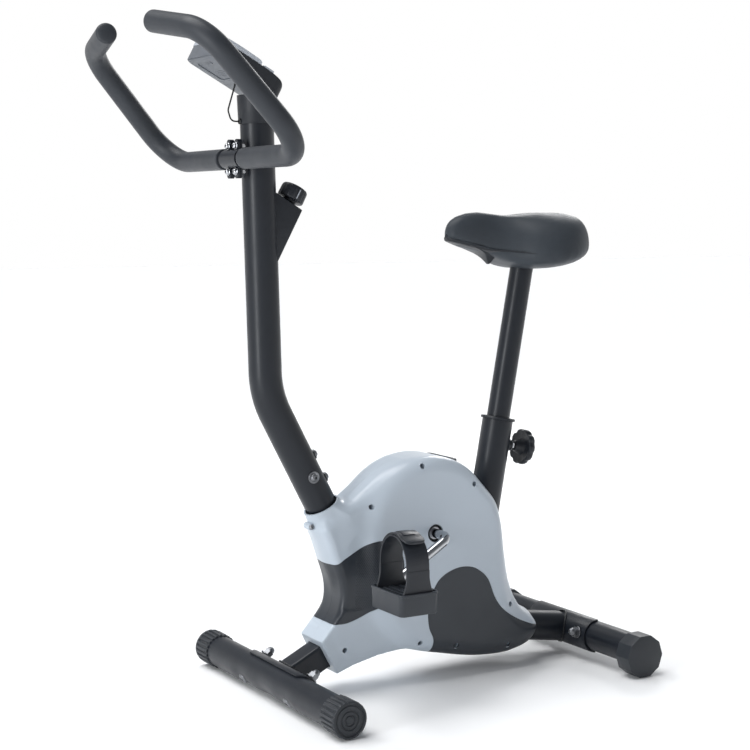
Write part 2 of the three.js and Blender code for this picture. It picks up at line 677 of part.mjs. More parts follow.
const alongTension = distance => TENSION_TOP.clone().addScaledVector(tensionUp, distance);

function tensionHousing() {
  const side = outline([[-14, 790], [44, 756], [1.5, 678], [-14, 678]]);
  const inside = outline([[-20, 788], [39.5, 756], [2, 687], [-20, 687]]);
  const post = rod(postAt(640), postAt(820), POST_R + GAP);
  const box = slab(side, -TENSION.half, TENSION.half);
  const space = slab(inside, -TENSION.half + 2.5, TENSION.half - 2.5);
  const stem = rod(alongTension(-14), alongTension(10), 4.4, { sides: 12 });
  return largest(cut(box, space, post, stem));
}

function lobedOutline(radius, depth, lobes, perLobe) {
  const count = lobes * perLobe;
  return Array.from({ length: count }, (_, i) => {
    const turn = 2 * Math.PI * i / count;
    const reach = radius - depth * (0.5 - 0.5 * Math.cos(lobes * turn));
    return [reach * Math.cos(turn), reach * Math.sin(turn)];
  });
}

function tensionKnob() {
  const [radius, bottom] = [TENSION.knobR, 5];
  const top = bottom + TENSION.knobHeight;
  const profile = [[0, bottom], [radius - 1, bottom], [radius, bottom + 2], [radius - 0.8, top - 2],
    [radius - 3, top], [0, top]];
  const body = turned(profile, TENSION_TOP, tensionUp, 24);
  const stem = rod(alongTension(-18), alongTension(bottom + 1), 4, { sides: 12 });
  const pointer = tiltedBox(alongTension(bottom + 12), 90 - TENSION.tilt, [-10, 11], 2, 0.8);
  return join(body, stem, pointer.translate([radius - 0.6, 0, 0]));
}

piece('tension_housing', tensionHousing(), ...PAINT);
piece('tension_knob', tensionKnob(), ...BLACK_PLASTIC);
piece('tension_cable', sweep(cablePath, CABLE_R, { sides: 6 }), 0x1b1d1f, 0.5);

// ---------------------------------------------------------------- seat post, knob and saddle
const POST_HOLES = { count: 6, pitch: 30, first: -60 };

function seatBush() {
  const depth = 120;
  const outer = SEAT_TUBE_R - SEAT_TUBE_WALL - GAP;
  const inner = SEAT_POST_R + GAP;
  const profile = [[inner, -depth], [outer, -depth], [outer, GAP], [28.5, GAP], [29, 2.2], [28, 5],
    [inner, 5], [inner, -depth]];
  const sleeve = turned(profile, SEAT_TUBE_TOP, SEAT_AXIS);
  return cut(sleeve, rod(knobAt(15), knobAt(40), 5.3, { sides: 12 }));
}

function seatPost() {
  const bottom = SEAT_POST_TOP.clone().addScaledVector(SEAT_AXIS, -SEAT_POST_LENGTH);
  const tube = rod(bottom, SEAT_POST_TOP, SEAT_POST_R, { inner: SEAT_POST_R - SEAT_POST_WALL });
  const holes = Array.from({ length: POST_HOLES.count }, (_, i) => {
    const shift = SEAT_AXIS.clone().multiplyScalar(POST_HOLES.first + i * POST_HOLES.pitch);
    return rod(knobAt(8).add(shift), knobAt(30).add(shift), 5, { sides: 8 });
  });
  return cut(tube, ...holes);
}

function seatKnob() {
  const lobed = outline(lobedOutline(SEAT_KNOB.radius, 2.6, 8, 5));
  const turn = new THREE.Matrix4().makeBasis(v(1, 0, 0), SEAT_AXIS.clone(), knobAxis.clone().negate());
  const place = turn.clone().setPosition(knobAt(SEAT_KNOB.near + SEAT_KNOB.thick));
  const disc = slab(lobed, 0, SEAT_KNOB.thick, { edge: 2.5, segments: 1, place });
  const nearest = SEAT_POST_R + 0.4;
  const pin = turned([[0, 0], [4.2, 0], [4.2, 14.6], [4.2, 34], [13, 34.5], [9, 42], [0, 42]],
    knobAt(nearest), knobAxis, 18);
  return join(disc, pin);
}

const saddleTop = [[316, 728], [326, 742], [348, 750.5], [400, 749.5], [452, 746.5], [500, 749],
  [545, 750.5], [572, 740], [587, 712]];
const saddleUnder = [[584, 692], [548, 677], [500, 672], [450, 677], [405, 689], [350, 705], [318, 714]];

function saddlePlan() {
  const half = [[0, 313], [17, 318], [27, 334], [32, 365], [41, 398], [60, 422], [86, 448], [99, 474],
    [99, 500], [90, 528], [70, 558], [42, 580], [0, 588]];
  return outline([...half, ...half.slice(1, -1).reverse().map(([x, y]) => [-x, y])]);
}

function saddleCover() {
  const plan = slab(saddlePlan(), 668, 756, { edge: 16, segments: 3, place: new THREE.Matrix4() });
  return plan.intersect(slab(outline([...saddleTop, ...saddleUnder]), -120, 120));
}

function saddleBase() {
  const lowered = drop => saddleUnder.slice(0, -1).map(([y, z]) => [y, z - drop]);
  const strip = outline([...lowered(GAP), ...lowered(7).reverse()]);
  const plan = slab(saddlePlan(), 640, 720, { edge: 10, segments: 1, grow: -5, place: new THREE.Matrix4() });
  const nib = slab(outline([[378, 690], [397, 668], [430, 678], [430, 681]]), -14, 14);
  return join(slab(strip, -120, 120).intersect(plan), nib);
}

function saddleMount() {
  const top = [[0, -38], [16.9, -38], [16.9, GAP], [19, GAP], [19, 3.2], [0, 3.2]];
  const above = outline([[440, 669.8], [500, 664.8], [500, 690], [440, 690]]);
  return cut(turned(top, SEAT_POST_TOP, SEAT_AXIS), slab(above, -40, 40));
}

piece('seat_tube_bush', seatBush(), ...BLACK_PLASTIC);
piece('seat_post', seatPost(), ...PAINT);
piece('seat_knob', seatKnob(), ...BLACK_PLASTIC);
piece('saddle_mount', saddleMount(), ...STEEL);
piece('saddle_base', saddleBase(), ...BLACK_PLASTIC);
piece('saddle_cover', saddleCover(), ...VINYL);

// ---------------------------------------------------------------- crank, pedals and drive
const eye = side => v(side * PEDAL_EYE_X, CRANK.y + side * CRANK_ARM.y, CRANK.z + side * CRANK_ARM.z);

function crank() {
  const bar = sweep(new BentPath([
    eye(1), v(CRANK_BEND_X, CRANK.y, CRANK.z), v(-CRANK_BEND_X, CRANK.y, CRANK.z), eye(-1),
  ], 15, 5), CRANK_BAR_R);
  const ends = [1, -1].flatMap(side => {
    const middle = eye(side);
    const at = x => v(side * x, middle.y, middle.z);
    const boss = rod(at(PEDAL_EYE_X - 9), at(PEDAL_EYE_X + 8), 11);
    return [boss, rod(at(PEDAL_EYE_X), at(PEDAL.x + 34), SPINDLE_R, { sides: 16 })];
  });
  return join(bar, ...ends);
}

// Drawn about its spindle, strap upwards, on the rider's left; the other one is turned over.
function pedalPlacement(side) {
  const turn = side > 0 ? new THREE.Matrix4() : new THREE.Matrix4().makeRotationY(Math.PI);
  const at = eye(side);
  return turn.setPosition(0, at.y, at.z);
}

function moved(solid, matrix) {
  return solid.transform([...matrix.elements]);
}

function strapArch(grow) {
  const { inner, outer, height, thick, foot } = STRAP;
  const radius = (outer - inner) / 2;
  const middle = (outer + inner) / 2;
  const spring = PEDAL.height / 2 + height - radius - thick / 2;
  const shape = new THREE.Shape();
  shape.moveTo(outer + thick / 2 + grow, foot - grow);
  shape.lineTo(outer + thick / 2 + grow, spring);
  shape.absarc(middle, spring, radius + thick / 2 + grow, 0, Math.PI, false);
  shape.lineTo(inner - thick / 2 - grow, foot - grow);
  shape.lineTo(inner + thick / 2 + grow, foot - grow);
  shape.absarc(middle, spring, radius - thick / 2 - grow, Math.PI, 0, true);
  shape.lineTo(outer - thick / 2 - grow, foot - grow);
  const standing = new THREE.Matrix4().makeBasis(v(1, 0, 0), v(0, 0, 1), v(0, -1, 0));
  return slab(shape, -STRAP.width / 2 - grow, STRAP.width / 2 + grow, { curve: 12, place: standing });
}

function pedalBody() {
  const flat = roundedRectangle(PEDAL.width, PEDAL.length, 7);
  const place = new THREE.Matrix4().makeTranslation(PEDAL.x, 0, 0);
  const block = slab(flat, -PEDAL.height / 2, PEDAL.height / 2, { edge: 1.5, segments: 1, place });
  const bore = rod(v(100, 0, 0), v(PEDAL.x + 36, 0, 0), SPINDLE_R + GAP, { sides: 16 });
  return cut(block, bore, strapArch(GAP));
}

function drivePulley() {
  const bore = 8.2;
  const profile = [[bore, 29], [16, 29], [16, 36], [62, 36], [62, 32], [DRIVE_PULLEY_R, 32],
    [DRIVE_PULLEY_R, 44], [62, 44], [62, 40], [16, 40], [16, 48], [bore, 48], [bore, 29]];
  return turned(profile, CRANK, RIGHTWARD, 32);
}

function flywheel() {
  const profile = [[0, -47], [14, -47], [14, -42], [62, -42], [62, -46], [FLYWHEEL_R, -46], [FLYWHEEL_R, -31],
    [62, -31], [62, -35], [14, -35], [14, -29], [6, -29], [6, 32], [SMALL_PULLEY_R, 32],
    [SMALL_PULLEY_R, 44], [0, 44]];
  return turned(profile, FLYWHEEL, RIGHTWARD, 32);
}

// The closed outline of a belt around both pulleys, at a given height above their rims.
function beltOutline(height) {
  const line = FLYWHEEL.clone().sub(CRANK);
  const [big, small] = [DRIVE_PULLEY_R + height, SMALL_PULLEY_R + height];
  const heading = Math.atan2(line.z, line.y);
  const spread = Math.acos((big - small) / line.length());
  const shape = new THREE.Shape();
  shape.absarc(CRANK.y, CRANK.z, big, heading + spread, heading - spread + 2 * Math.PI, false);
  shape.absarc(FLYWHEEL.y, FLYWHEEL.z, small, heading - spread, heading + spread, false);
  return shape;
}

function driveBelt() {
  const loop = beltOutline(2 * GAP + BELT_THICK);
  loop.holes.push(new THREE.Path(beltOutline(2 * GAP).getPoints(12)));
  return slab(loop, ...BELT_X, { curve: 12 });
}

function brakeBand() {
  const inner = FLYWHEEL_R + 0.6;
  const shape = new THREE.Shape();
  shape.absarc(FLYWHEEL.y, FLYWHEEL.z, inner + 1.6, radians(-44), radians(192), false);
  shape.absarc(FLYWHEEL.y, FLYWHEEL.z, inner, radians(192), radians(-44), true);
  return slab(shape, -44, -33, { curve: 14 });
}

function brakeSpring() {
  const curve = new Helix(v(-40, 181, 156), v(-40, 192, 126), 4, 4);
  const options = { extrudePath: curve, steps: 32, bevelEnabled: false };
  return solidOf(new THREE.ExtrudeGeometry(ringSection(0.9, 0, 5), options));
}

piece('crank', crank(), ...CHROME);
for (const [hand, side] of [['left', 1], ['right', -1]]) {
  const [start, end] = [16, 27].map(x => v(side * x, CRANK.y, CRANK.z));
  piece(`crank_bearing_${hand}`, rod(start, end, 17.2, { inner: 8.2 }), ...STEEL);
  piece(`pedal_body_${hand}`, moved(pedalBody(), pedalPlacement(side)), ...DARK_PLASTIC);
  piece(`pedal_strap_${hand}`, moved(strapArch(0), pedalPlacement(side)), ...BLACK_PLASTIC);
}
piece('drive_pulley', drivePulley(), 0x2a2c2e, 0.6);
piece('flywheel', flywheel(), ...STEEL);
piece('drive_belt', driveBelt(), 0x191a1b, 0.8);
piece('brake_band', brakeBand(), 0x6c6257, 0.8);
piece('brake_spring', brakeSpring(), ...STEEL);
piece('speed_sensor', box(-46, -34, 215, 231, 226, 238.6), ...BLACK_PLASTIC);

// ---------------------------------------------------------------- shroud
// The side outline of the round body: a disc around the crank, then the tail and the belly.
function bodyOutline() {
  const steps = 12;
  const disc = Array.from({ length: steps + 1 }, (_, i) => {
    const turn = radians(172 - 134 * i / steps);
    return [CRANK.y + 122 * Math.cos(turn), CRANK.z + 122 * Math.sin(turn)];
  });
  return outline([
    ...disc, [385, 286], [396, 262], [403, 222], [407, 185], [414, 150], [428, 118], [450, 88],
    [456, 62], [440, 40],
    [400, 31], [345, 33], [290, 44], [240, 54], [196, 76], [160, 120], [143, 170],
  ]);
}

// The narrower middle: the column around the post stub, the collar of the rail and the belly.
const columnPoints = [
  [74, 262], [80, 238], [90, 206], [99, 178], [103, 155], [99, 134], [88, 112], [64, 87],
  [92, 33], [122, 43], [166, 52],
  [216, 57], [262, 50], [315, 37], [370, 28], [425, 29], [448, 48], [440, 100], [414, 140],
  [400, 200], [370, 280], [261, 300],
  [180, 330], [152, 322], [124, 290],
];

// The outer form, or with an inset the space inside the shell.
function shroudForm(inset) {
  const [bodyHalf, neckHalf] = [BODY_HALF - inset, NECK_HALF - inset];
  const body = slab(bodyOutline(), -bodyHalf, bodyHalf,
    { edge: 24 - inset, segments: 2, grow: -inset, curve: 6 });
  const column = slab(outline(columnPoints), -neckHalf, neckHalf,
    { edge: 10 - inset, segments: 2, grow: -inset });
  const neckAxis = stubAxis.clone().negate();
  const [bottom, top, collar] = inset ? [-130, 5, 24] : [-120, -6.5, 29.5];
  const neck = turned([[0, bottom], [36 - inset, bottom], [31 - inset, -50], [collar, -22],
    [collar, top], [0, top]], POST_END, neckAxis);
  const tail = rod(mainAt(430), mainAt(inset ? 520 : 488), inset ? MAIN_TUBE_R + 0.6 : 30);
  return join(body, column, neck, tail);
}

function shroudSolid() {
  const railWay = tiltedBox(RAIL_MIDDLE, RAIL_SLOPE, [-60, 30], 54, NECK_HALF - SHELL_WALL);
  const seatWay = rod(seatDown(330), seatDown(-20), SEAT_TUBE_R + 0.6);
  const tubeWay = rod(mainAt(160), mainAt(520), MAIN_TUBE_R + 0.6);
  const crankWay = rod(v(-80, CRANK.y, CRANK.z), v(80, CRANK.y, CRANK.z), CRANK_HOLE_R);
  return cut(shroudForm(0), shroudForm(SHELL_WALL), railWay, seatWay, tubeWay, crankWay);
}

const frontPanelOutline = outline([
  [20, 204], [86, 204], [105, 214], [121, 224], [142, 236], [158, 241], [178, 240], [194, 228],
  [202, 206], [202, 180], [192, 156],
  [176, 140], [160, 132], [135, 120], [111, 113], [92, 112], [20, 112],
]);
const rearPanelOutline = outline([
  [256, 0], [257, 70], [249, 92], [248, 118], [259, 154], [270, 168], [289, 179], [311, 183],
  [333, 180], [352, 169], [368, 149],
  [386, 125], [412, 98], [442, 77], [478, 62], [520, 56], [520, 0],
]);

function panelRegion(shape, grow) {
  return slab(shape, -80, 80, { edge: 2, segments: 1, grow });
}

function shroudPieces() {
  const shell = shroudSolid();
  const light = cut(shell, panelRegion(frontPanelOutline, GAP / 2), panelRegion(rearPanelOutline, GAP / 2));
  const front = shell.intersect(panelRegion(frontPanelOutline, -GAP / 2));
  const rear = shell.intersect(panelRegion(rearPanelOutline, -GAP / 2));
  const half = (solid, side) => largest(side > 0
    ? solid.intersect(box(GAP / 2, 90, -10, 560, 0, 420))
    : solid.intersect(box(-90, -GAP / 2, -10, 560, 0, 420)));
  piece('shroud_left', half(light, 1), ...SHELL_PLASTIC);
  piece('shroud_right', half(light, -1), ...SHELL_PLASTIC);
  piece('front_panel_left', half(front, 1), ...DARK_PLASTIC);
  piece('front_panel_right', half(front, -1), ...DARK_PLASTIC);
  piece('rear_panel', largest(rear), ...DARK_PLASTIC);
}

shroudPieces();

// ---------------------------------------------------------------- assembly
const bike = new THREE.Group();
for (const { name, solid, color, roughness, metalness } of pieces) {
  const material = new THREE.MeshStandardMaterial({ color, roughness, metalness });
  const mesh = new THREE.Mesh(geometryOf(solid), material);
  mesh.name = name;
  mesh.position.y = -ORIGIN_Y;
  bike.add(mesh);
}

export default bike;
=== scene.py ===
"""Upright exercise bike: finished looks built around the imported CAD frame.

Shapes are worked out in millimetres, with Y measured from the axis of the front foot tube, as the
frame's own parts are, and turned into the row frame's metres when a mesh is made.
"""

import math

import bmesh
import bpy
import numpy as np
from mathutils import Matrix, Vector
from mathutils.bvhtree import BVHTree


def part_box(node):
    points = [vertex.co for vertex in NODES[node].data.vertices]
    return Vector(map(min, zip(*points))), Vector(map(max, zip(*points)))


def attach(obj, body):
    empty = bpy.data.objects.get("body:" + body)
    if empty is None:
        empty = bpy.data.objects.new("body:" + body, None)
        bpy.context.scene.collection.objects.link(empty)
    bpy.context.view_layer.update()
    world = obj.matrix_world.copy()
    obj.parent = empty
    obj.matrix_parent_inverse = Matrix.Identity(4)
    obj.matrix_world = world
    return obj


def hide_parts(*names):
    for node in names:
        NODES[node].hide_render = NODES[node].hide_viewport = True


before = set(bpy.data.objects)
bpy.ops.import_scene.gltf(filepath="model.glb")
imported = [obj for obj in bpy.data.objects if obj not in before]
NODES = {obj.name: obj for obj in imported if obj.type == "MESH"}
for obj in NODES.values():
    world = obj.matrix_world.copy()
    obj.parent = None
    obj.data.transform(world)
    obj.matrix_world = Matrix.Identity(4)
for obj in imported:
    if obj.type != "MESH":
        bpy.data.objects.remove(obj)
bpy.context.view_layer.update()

MM = 0.001
foot_low, foot_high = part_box("front_foot_tube")
FRONT_AXIS_Y = (foot_low.y + foot_high.y) / 2
X_AXIS = Vector((1, 0, 0))


def at(x, y, z):
    return Vector((x, y, z))


def row(point):
    """A point of this file, in millimetres, as one of the row frame, in metres."""
    return Vector((point[0] * MM, point[1] * MM + FRONT_AXIS_Y, point[2] * MM))


# ------------------------------------------------------------------ driving sizes, in millimetres
POST_R, POST_WALL, POST_BEND_R = 25.4, 1.8, 150
POST_TOP, POST_KNEE, POST_END = at(0, -24.1, 905), at(0, -11.7, 475.4), at(0, 79.6, 302.6)
STUB_FOOT = at(0, 190, 94)
STUB_AXIS = (STUB_FOOT - POST_END).normalized()
REAR_OF_STUB = at(0, -STUB_AXIS.z, STUB_AXIS.y)
POST_UP = (POST_TOP - POST_KNEE).normalized()

TUBE_R = 25.4
TUBE_FRONT, TUBE_REAR = at(0, 168, 99.9), at(0, 546, 43.4)
TUBE_AXIS = (TUBE_REAR - TUBE_FRONT).normalized()
RAIL_SIDE, RAIL_SLOPE, RAIL_MIDDLE = 40, math.radians(26), at(0, 100, 69.2)

FOOT_R = 25
FRONT_FOOT = {"y": 0, "z": 28.3, "width": 474, "bolt_x": 76, "bolt_angle": 38, "plate": 88}
REAR_FOOT = {"y": 569.6, "z": 39.5, "width": 413, "bolt_x": 62, "bolt_angle": 167, "plate": 80}
REAR_CAP_APOTHEM = 33.9

CRANK = at(0, 261, 243)
CRANK_ARM = at(0, -122.5, -67.5)
CRANK_BAR_R, CRANK_BEND_X, EYE_X = 7.7, 94, 104
PEDAL_X, PEDAL_W, PEDAL_L, PEDAL_TOP, PEDAL_LOW = 159, 92, 67, 14, -19

SEAT_AXIS = at(0, 0.1805, 0.9836).normalized()
SEAT_TUBE_TOP, SEAT_POST_TOP = at(0, 418.6, 409.6), at(0, 465.3, 663.6)
SEAT_KNOB_AT = at(0, 411.5, 371)
KNOB_AXIS = at(0, SEAT_AXIS.z, -SEAT_AXIS.y)

BAR_R, GRIP_R, BAR_BEND_R = 11.1, 15.9, 58
BAR_MIDDLE, BAR_LOWER = at(0, -60.4, 831.6), at(230, -60.4, 831.6)
BAR_UPPER, BAR_TIP = at(209, -203, 994), at(90, -225, 1014.5)

TENSION_TOP, TENSION_TILT = at(0, 28.5, 767), math.radians(29)
CONSOLE_CORNER, CONSOLE_TILT = at(0, -113, 975), math.radians(28.5)
CONSOLE_HALF, CONSOLE_LENGTH = 50, 123

SHELL_WALL, BODY_HALF, NECK_HALF, CRANK_HOLE_R = 2.5, 55, 36, 14.5


# ------------------------------------------------------------------ mesh tools
def new_object(name, points, faces, merge=False):
    mesh = bpy.data.meshes.new(name)
    mesh.from_pydata([row(p) for p in points], [], faces)
    bm = bmesh.new()
    bm.from_mesh(mesh)
    if merge:
        bmesh.ops.remove_doubles(bm, verts=bm.verts, dist=1e-7)
    bmesh.ops.recalc_face_normals(bm, faces=bm.faces)
    bm.to_mesh(mesh)
    bm.free()
    obj = bpy.data.objects.new(name, mesh)
    bpy.context.scene.collection.objects.link(obj)
    return obj


def skin(name, rings, closed=False, merge=False):
    """Faces between rings of equal length, with flat ends unless the rings close on themselves."""
    count = len(rings[0])
    faces = []
    for i in range(len(rings) if closed else len(rings) - 1):
        a, b = i * count, (i + 1) % len(rings) * count
        faces += [(a + k, a + (k + 1) % count, b + (k + 1) % count, b + k) for k in range(count)]
    if not closed:
        last = (len(rings) - 1) * count
        faces += [tuple(range(count)), tuple(range(last, last + count))]
    return new_object(name, [p for ring in rings for p in ring], faces, merge)


def circle(middle, u, v, radius, sides):
    turns = [2 * math.pi * k / sides for k in range(sides)]
    return [middle + (u * math.cos(t) + v * math.sin(t)) * radius for t in turns]


def across(axis):
    """Two directions square to an axis."""
    u = axis.orthogonal().normalized() if abs(axis.x) > 0.9 else axis.cross(X_AXIS).normalized()
    return u, axis.cross(u).normalized()


def turned(name, profile, origin, axis, sides=48):
    """A profile of (radius, height) turned about an axis. It starts and ends on the axis, or closes."""
    axis = axis.normalized()
    u, v = across(axis)
    closes = profile[0] == profile[-1]
    rows = profile[:-1] if closes else profile
    rings = [circle(origin + axis * h, u, v, max(r, 1e-5), sides) for r, h in rows]
    return skin(name, rings, closed=closes, merge=not closes)


def rod(name, start, end, radius, sides=48):
    length = (end - start).length
    return turned(name, [(0, 0), (radius, 0), (radius, length), (0, length)], start, end - start, sides)


def extruded(name, outline, origin, u, v, depth):
    """An outline of (a, b) pairs along u and v, extruded along u x v from depth[0] to depth[1]."""
    w = u.cross(v)
    return skin(name, [[origin + u * a + v * b + w * d for a, b in outline] for d in depth])


def slab(name, outline, x0, x1):
    """An outline in Y and Z, extruded along X."""
    return extruded(name, outline, at(0, 0, 0), at(0, 1, 0), at(0, 0, 1), (x0, x1))


def box(name, low, high):
    outline = [(low[1], low[2]), (high[1], low[2]), (high[1], high[2]), (low[1], high[2])]
    return slab(name, outline, low[0], high[0])


def bent(points, radius, per_bend=12):
    """Stations (place, direction) along straight runs joined by arcs."""
    stations = [(points[0], (points[1] - points[0]).normalized())]
    for before, corner, after in zip(points, points[1:], points[2:]):
        into, out = (corner - before).normalized(), (after - corner).normalized()
        angle = into.angle(out)
        room = 0.48 * min((corner - before).length, (after - corner).length)
        reach = min(radius * math.tan(angle / 2), room)
        used = reach / math.tan(angle / 2)
        side = (out - into * out.dot(into)).normalized()
        for k in range(per_bend + 1):
            t = angle * k / per_bend
            place = corner - into * reach + into * used * math.sin(t) + side * used * (1 - math.cos(t))
            stations.append((place, (into * math.cos(t) + side * math.sin(t)).normalized()))
    stations.append((points[-1], (points[-1] - points[-2]).normalized()))
    return stations


def tube(name, stations, radius, inner=None, sides=48):
    """A round bar along stations, or a tube if it has an inner radius.

    A list of radii gives each station its own.
    """
    radii = radius if isinstance(radius, list) else [radius] * len(stations)
    previous = stations[0][1]
    normal = previous.orthogonal().normalized()
    outer, bore = [], []
    for (place, along), r in zip(stations, radii):
        normal = previous.rotation_difference(along) @ normal
        normal = (normal - along * normal.dot(along)).normalized()
        previous = along
        outer.append(circle(place, normal, along.cross(normal), r, sides))
        if inner is not None:
            bore.append(circle(place, normal, along.cross(normal), inner, sides))
    return skin(name, outer + bore[::-1], closed=inner is not None)


def catmull(points, per_span=8, closed=True):
    """A smooth closed or open curve through 2-D points."""
    found, count = [], len(points)
    spans = count if closed else count - 1
    for i in range(spans):
        ids = [i - 1, i, i + 1, i + 2]
        ids = [k % count for k in ids] if closed else [min(max(k, 0), count - 1) for k in ids]
        a, b, c, d = (np.array(points[k], float) for k in ids)
        for s in np.linspace(0, 1, per_span, endpoint=False):
            found.append(0.5 * (2 * b + (c - a) * s + (2 * a - 5 * b + 4 * c - d) * s**2
                                + (3 * b - a - 3 * c + d) * s**3))
    return [tuple(p) for p in found] + ([] if closed else [tuple(points[-1])])


def rounded_rectangle(width, height, radius, per_corner=6, middle=(0, 0)):
    w, h = width / 2 - radius, height / 2 - radius
    points = []
    for cx, cy, start in ((w, h, 0), (-w, h, 90), (-w, -h, 180), (w, -h, 270)):
        for k in range(per_corner + 1):
            t = math.radians(start + 90 * k / per_corner)
            points.append((middle[0] + cx + radius * math.cos(t), middle[1] + cy + radius * math.sin(t)))
    return points


def bake(obj):
    """Applies an object's modifiers."""
    graph = bpy.context.evaluated_depsgraph_get()
    mesh = bpy.data.meshes.new_from_object(obj.evaluated_get(graph))
    obj.modifiers.clear()
    obj.data = mesh
    return obj


def boolean(obj, operation, *tools):
    for tool in tools:
        for solver in ("MANIFOLD", "EXACT"):
            before = len(obj.data.vertices)
            kept = obj.data.copy()
            modifier = obj.modifiers.new("boolean", "BOOLEAN")
            modifier.operation, modifier.object, modifier.solver = operation, tool, solver
            bake(obj)
            if len(obj.data.vertices) not in (0, before):
                break
            obj.data = kept
        bpy.data.objects.remove(tool)
    return obj


def cut(obj, *tools):
    return boolean(obj, "DIFFERENCE", *tools)


def join(obj, *others):
    return boolean(obj, "UNION", *others)


def bevel(obj, width, segments=3, angle=35):
    modifier = obj.modifiers.new("bevel", "BEVEL")
    modifier.width, modifier.segments = width * MM, segments
    modifier.limit_method, modifier.angle_limit = "ANGLE", math.radians(angle)
    modifier.use_clamp_overlap = True
    return bake(obj)


def merged(name, objects):
    """Separate shells joined into one object, with no boolean."""
    bm = bmesh.new()
    for o in objects:
        bm.from_mesh(o.data)
        bpy.data.objects.remove(o)
    mesh = bpy.data.meshes.new(name)
    bm.to_mesh(mesh)
    bm.free()
    obj = bpy.data.objects.new(name, mesh)
    bpy.context.scene.collection.objects.link(obj)
    return obj


def piece(obj, look, body, slot, *stands_for, sharp=38):
    """Shades, paints and places a finished piece on its body."""
    obj.data.materials.clear()
    obj.data.materials.append(look)
    bm = bmesh.new()
    bm.from_mesh(obj.data)
    for face in bm.faces:
        face.smooth = True
        face.material_index = 0
    for edge in bm.edges:
        edge.smooth = len(edge.link_faces) == 2 and edge.calc_face_angle(0) < math.radians(sharp)
    bm.to_mesh(obj.data)
    bm.free()
    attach(obj, body)
    if stands_for:
        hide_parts(*stands_for)
    return obj


# ------------------------------------------------------------------ materials
def principled(name, color, roughness, metallic=0.0, coat=0.0, sheen=0.0, specular=0.5):
    material = bpy.data.materials.new(name)
    material.use_nodes = True
    shader = material.node_tree.nodes["Principled BSDF"]
    shader.inputs["Base Color"].default_value = (*color, 1)
    shader.inputs["Roughness"].default_value = roughness
    shader.inputs["Metallic"].default_value = metallic
    shader.inputs["Specular IOR Level"].default_value = specular
    shader.inputs["Coat Weight"].default_value = coat
    shader.inputs["Coat Roughness"].default_value = 0.05
    shader.inputs["Sheen Weight"].default_value = sheen
    shader.inputs["Sheen Roughness"].default_value = 0.4
    return material


def noise(material, scale, detail=3.0, stretch=(1, 1, 1)):
    nodes, links = material.node_tree.nodes, material.node_tree.links
    coords = nodes.new("ShaderNodeTexCoord")
    mapping = nodes.new("ShaderNodeMapping")
    mapping.inputs["Scale"].default_value = stretch
    texture = nodes.new("ShaderNodeTexNoise")
    texture.inputs["Scale"].default_value = scale
    texture.inputs["Detail"].default_value = detail
    links.new(coords.outputs["Object"], mapping.inputs["Vector"])
    links.new(mapping.outputs["Vector"], texture.inputs["Vector"])
    return texture.outputs["Fac"]


def add_bump(material, height, strength, distance):
    """A bump on top of any bump the material has. Distance is in metres."""
    nodes, links = material.node_tree.nodes, material.node_tree.links
    normal = nodes["Principled BSDF"].inputs["Normal"]
    node = nodes.new("ShaderNodeBump")
    node.inputs["Strength"].default_value = strength
    node.inputs["Distance"].default_value = distance
    if normal.links:
        links.new(normal.links[0].from_socket, node.inputs["Normal"])
    links.new(height, node.inputs["Height"])
    links.new(node.outputs["Normal"], normal)


def vary(material, socket, factor, low, high):
    """Lets a factor from 0 to 1 move a socket between two values or colours."""
    nodes, links = material.node_tree.nodes, material.node_tree.links
    ramp = nodes.new("ShaderNodeValToRGB")
    as_color = [value if isinstance(value, tuple) else (value,) * 3 for value in (low, high)]
    for element, place, color in zip(ramp.color_ramp.elements, (0.3, 0.7), as_color):
        element.position, element.color = place, (*color, 1)
    links.new(factor, ramp.inputs["Fac"])
    links.new(ramp.outputs["Color"], nodes["Principled BSDF"].inputs[socket])


def scaled(color, factor):
    return tuple(c * factor for c in color)


def finish_look(name, color, roughness, grain, grain_scale, spread=0.08, gloss=0.05, patches=14, detail=4,
                **more):
    """Paint or plastic: a slightly uneven colour and gloss, and a fine grain."""
    look = principled(name, color, roughness, **more)
    blotch = noise(look, patches, detail)
    vary(look, "Base Color", blotch, scaled(color, 1 - spread), scaled(color, 1 + spread))
    vary(look, "Roughness", noise(look, patches * 3, detail), roughness - gloss, roughness + gloss)
    add_bump(look, noise(look, grain_scale, 4), grain, 0.0004)
    return look


BLACK_PAINT = finish_look("powder_coat", (0.0076, 0.0103, 0.0157), 0.38, 0.12, 900, specular=0.36, coat=0.04)
BLACK_PLASTIC = finish_look("black_plastic", (0.0130, 0.0155, 0.0205), 0.42, 0.12, 1500, specular=0.36)
CAP_PLASTIC = finish_look("foot_cap_plastic", (0.022, 0.026, 0.032), 0.44, 0.12, 1500, specular=0.4)
DARK_PLASTIC = finish_look("dark_grey_plastic", (0.027, 0.032, 0.040), 0.40, 0.12, 1300, specular=0.42)
PANEL_PLASTIC = finish_look("dark_panel_plastic", (0.023, 0.028, 0.036), 0.34, 0.08, 1600, specular=0.42,
                            coat=0.05)
SHROUD_WHITE = finish_look("shroud_plastic", (0.475, 0.535, 0.60), 0.3, 0.0, 60, spread=0.006, gloss=0.012,
                           patches=2, detail=0, specular=0.4, coat=0.08)
SILVER = finish_look("silver_paint", (0.44, 0.47, 0.52), 0.3, 0.03, 200, spread=0.02, metallic=0.2, coat=0.2)
GREY_PLASTIC = finish_look("grey_plastic", (0.108, 0.118, 0.134), 0.42, 0.12, 1300, specular=0.4)
FOAM = finish_look("foam_grip", (0.026, 0.030, 0.037), 0.5, 0.06, 1900, specular=0.4, sheen=0.06)
VINYL = finish_look("saddle_vinyl", (0.042, 0.049, 0.058), 0.48, 0.08, 700, specular=0.2)
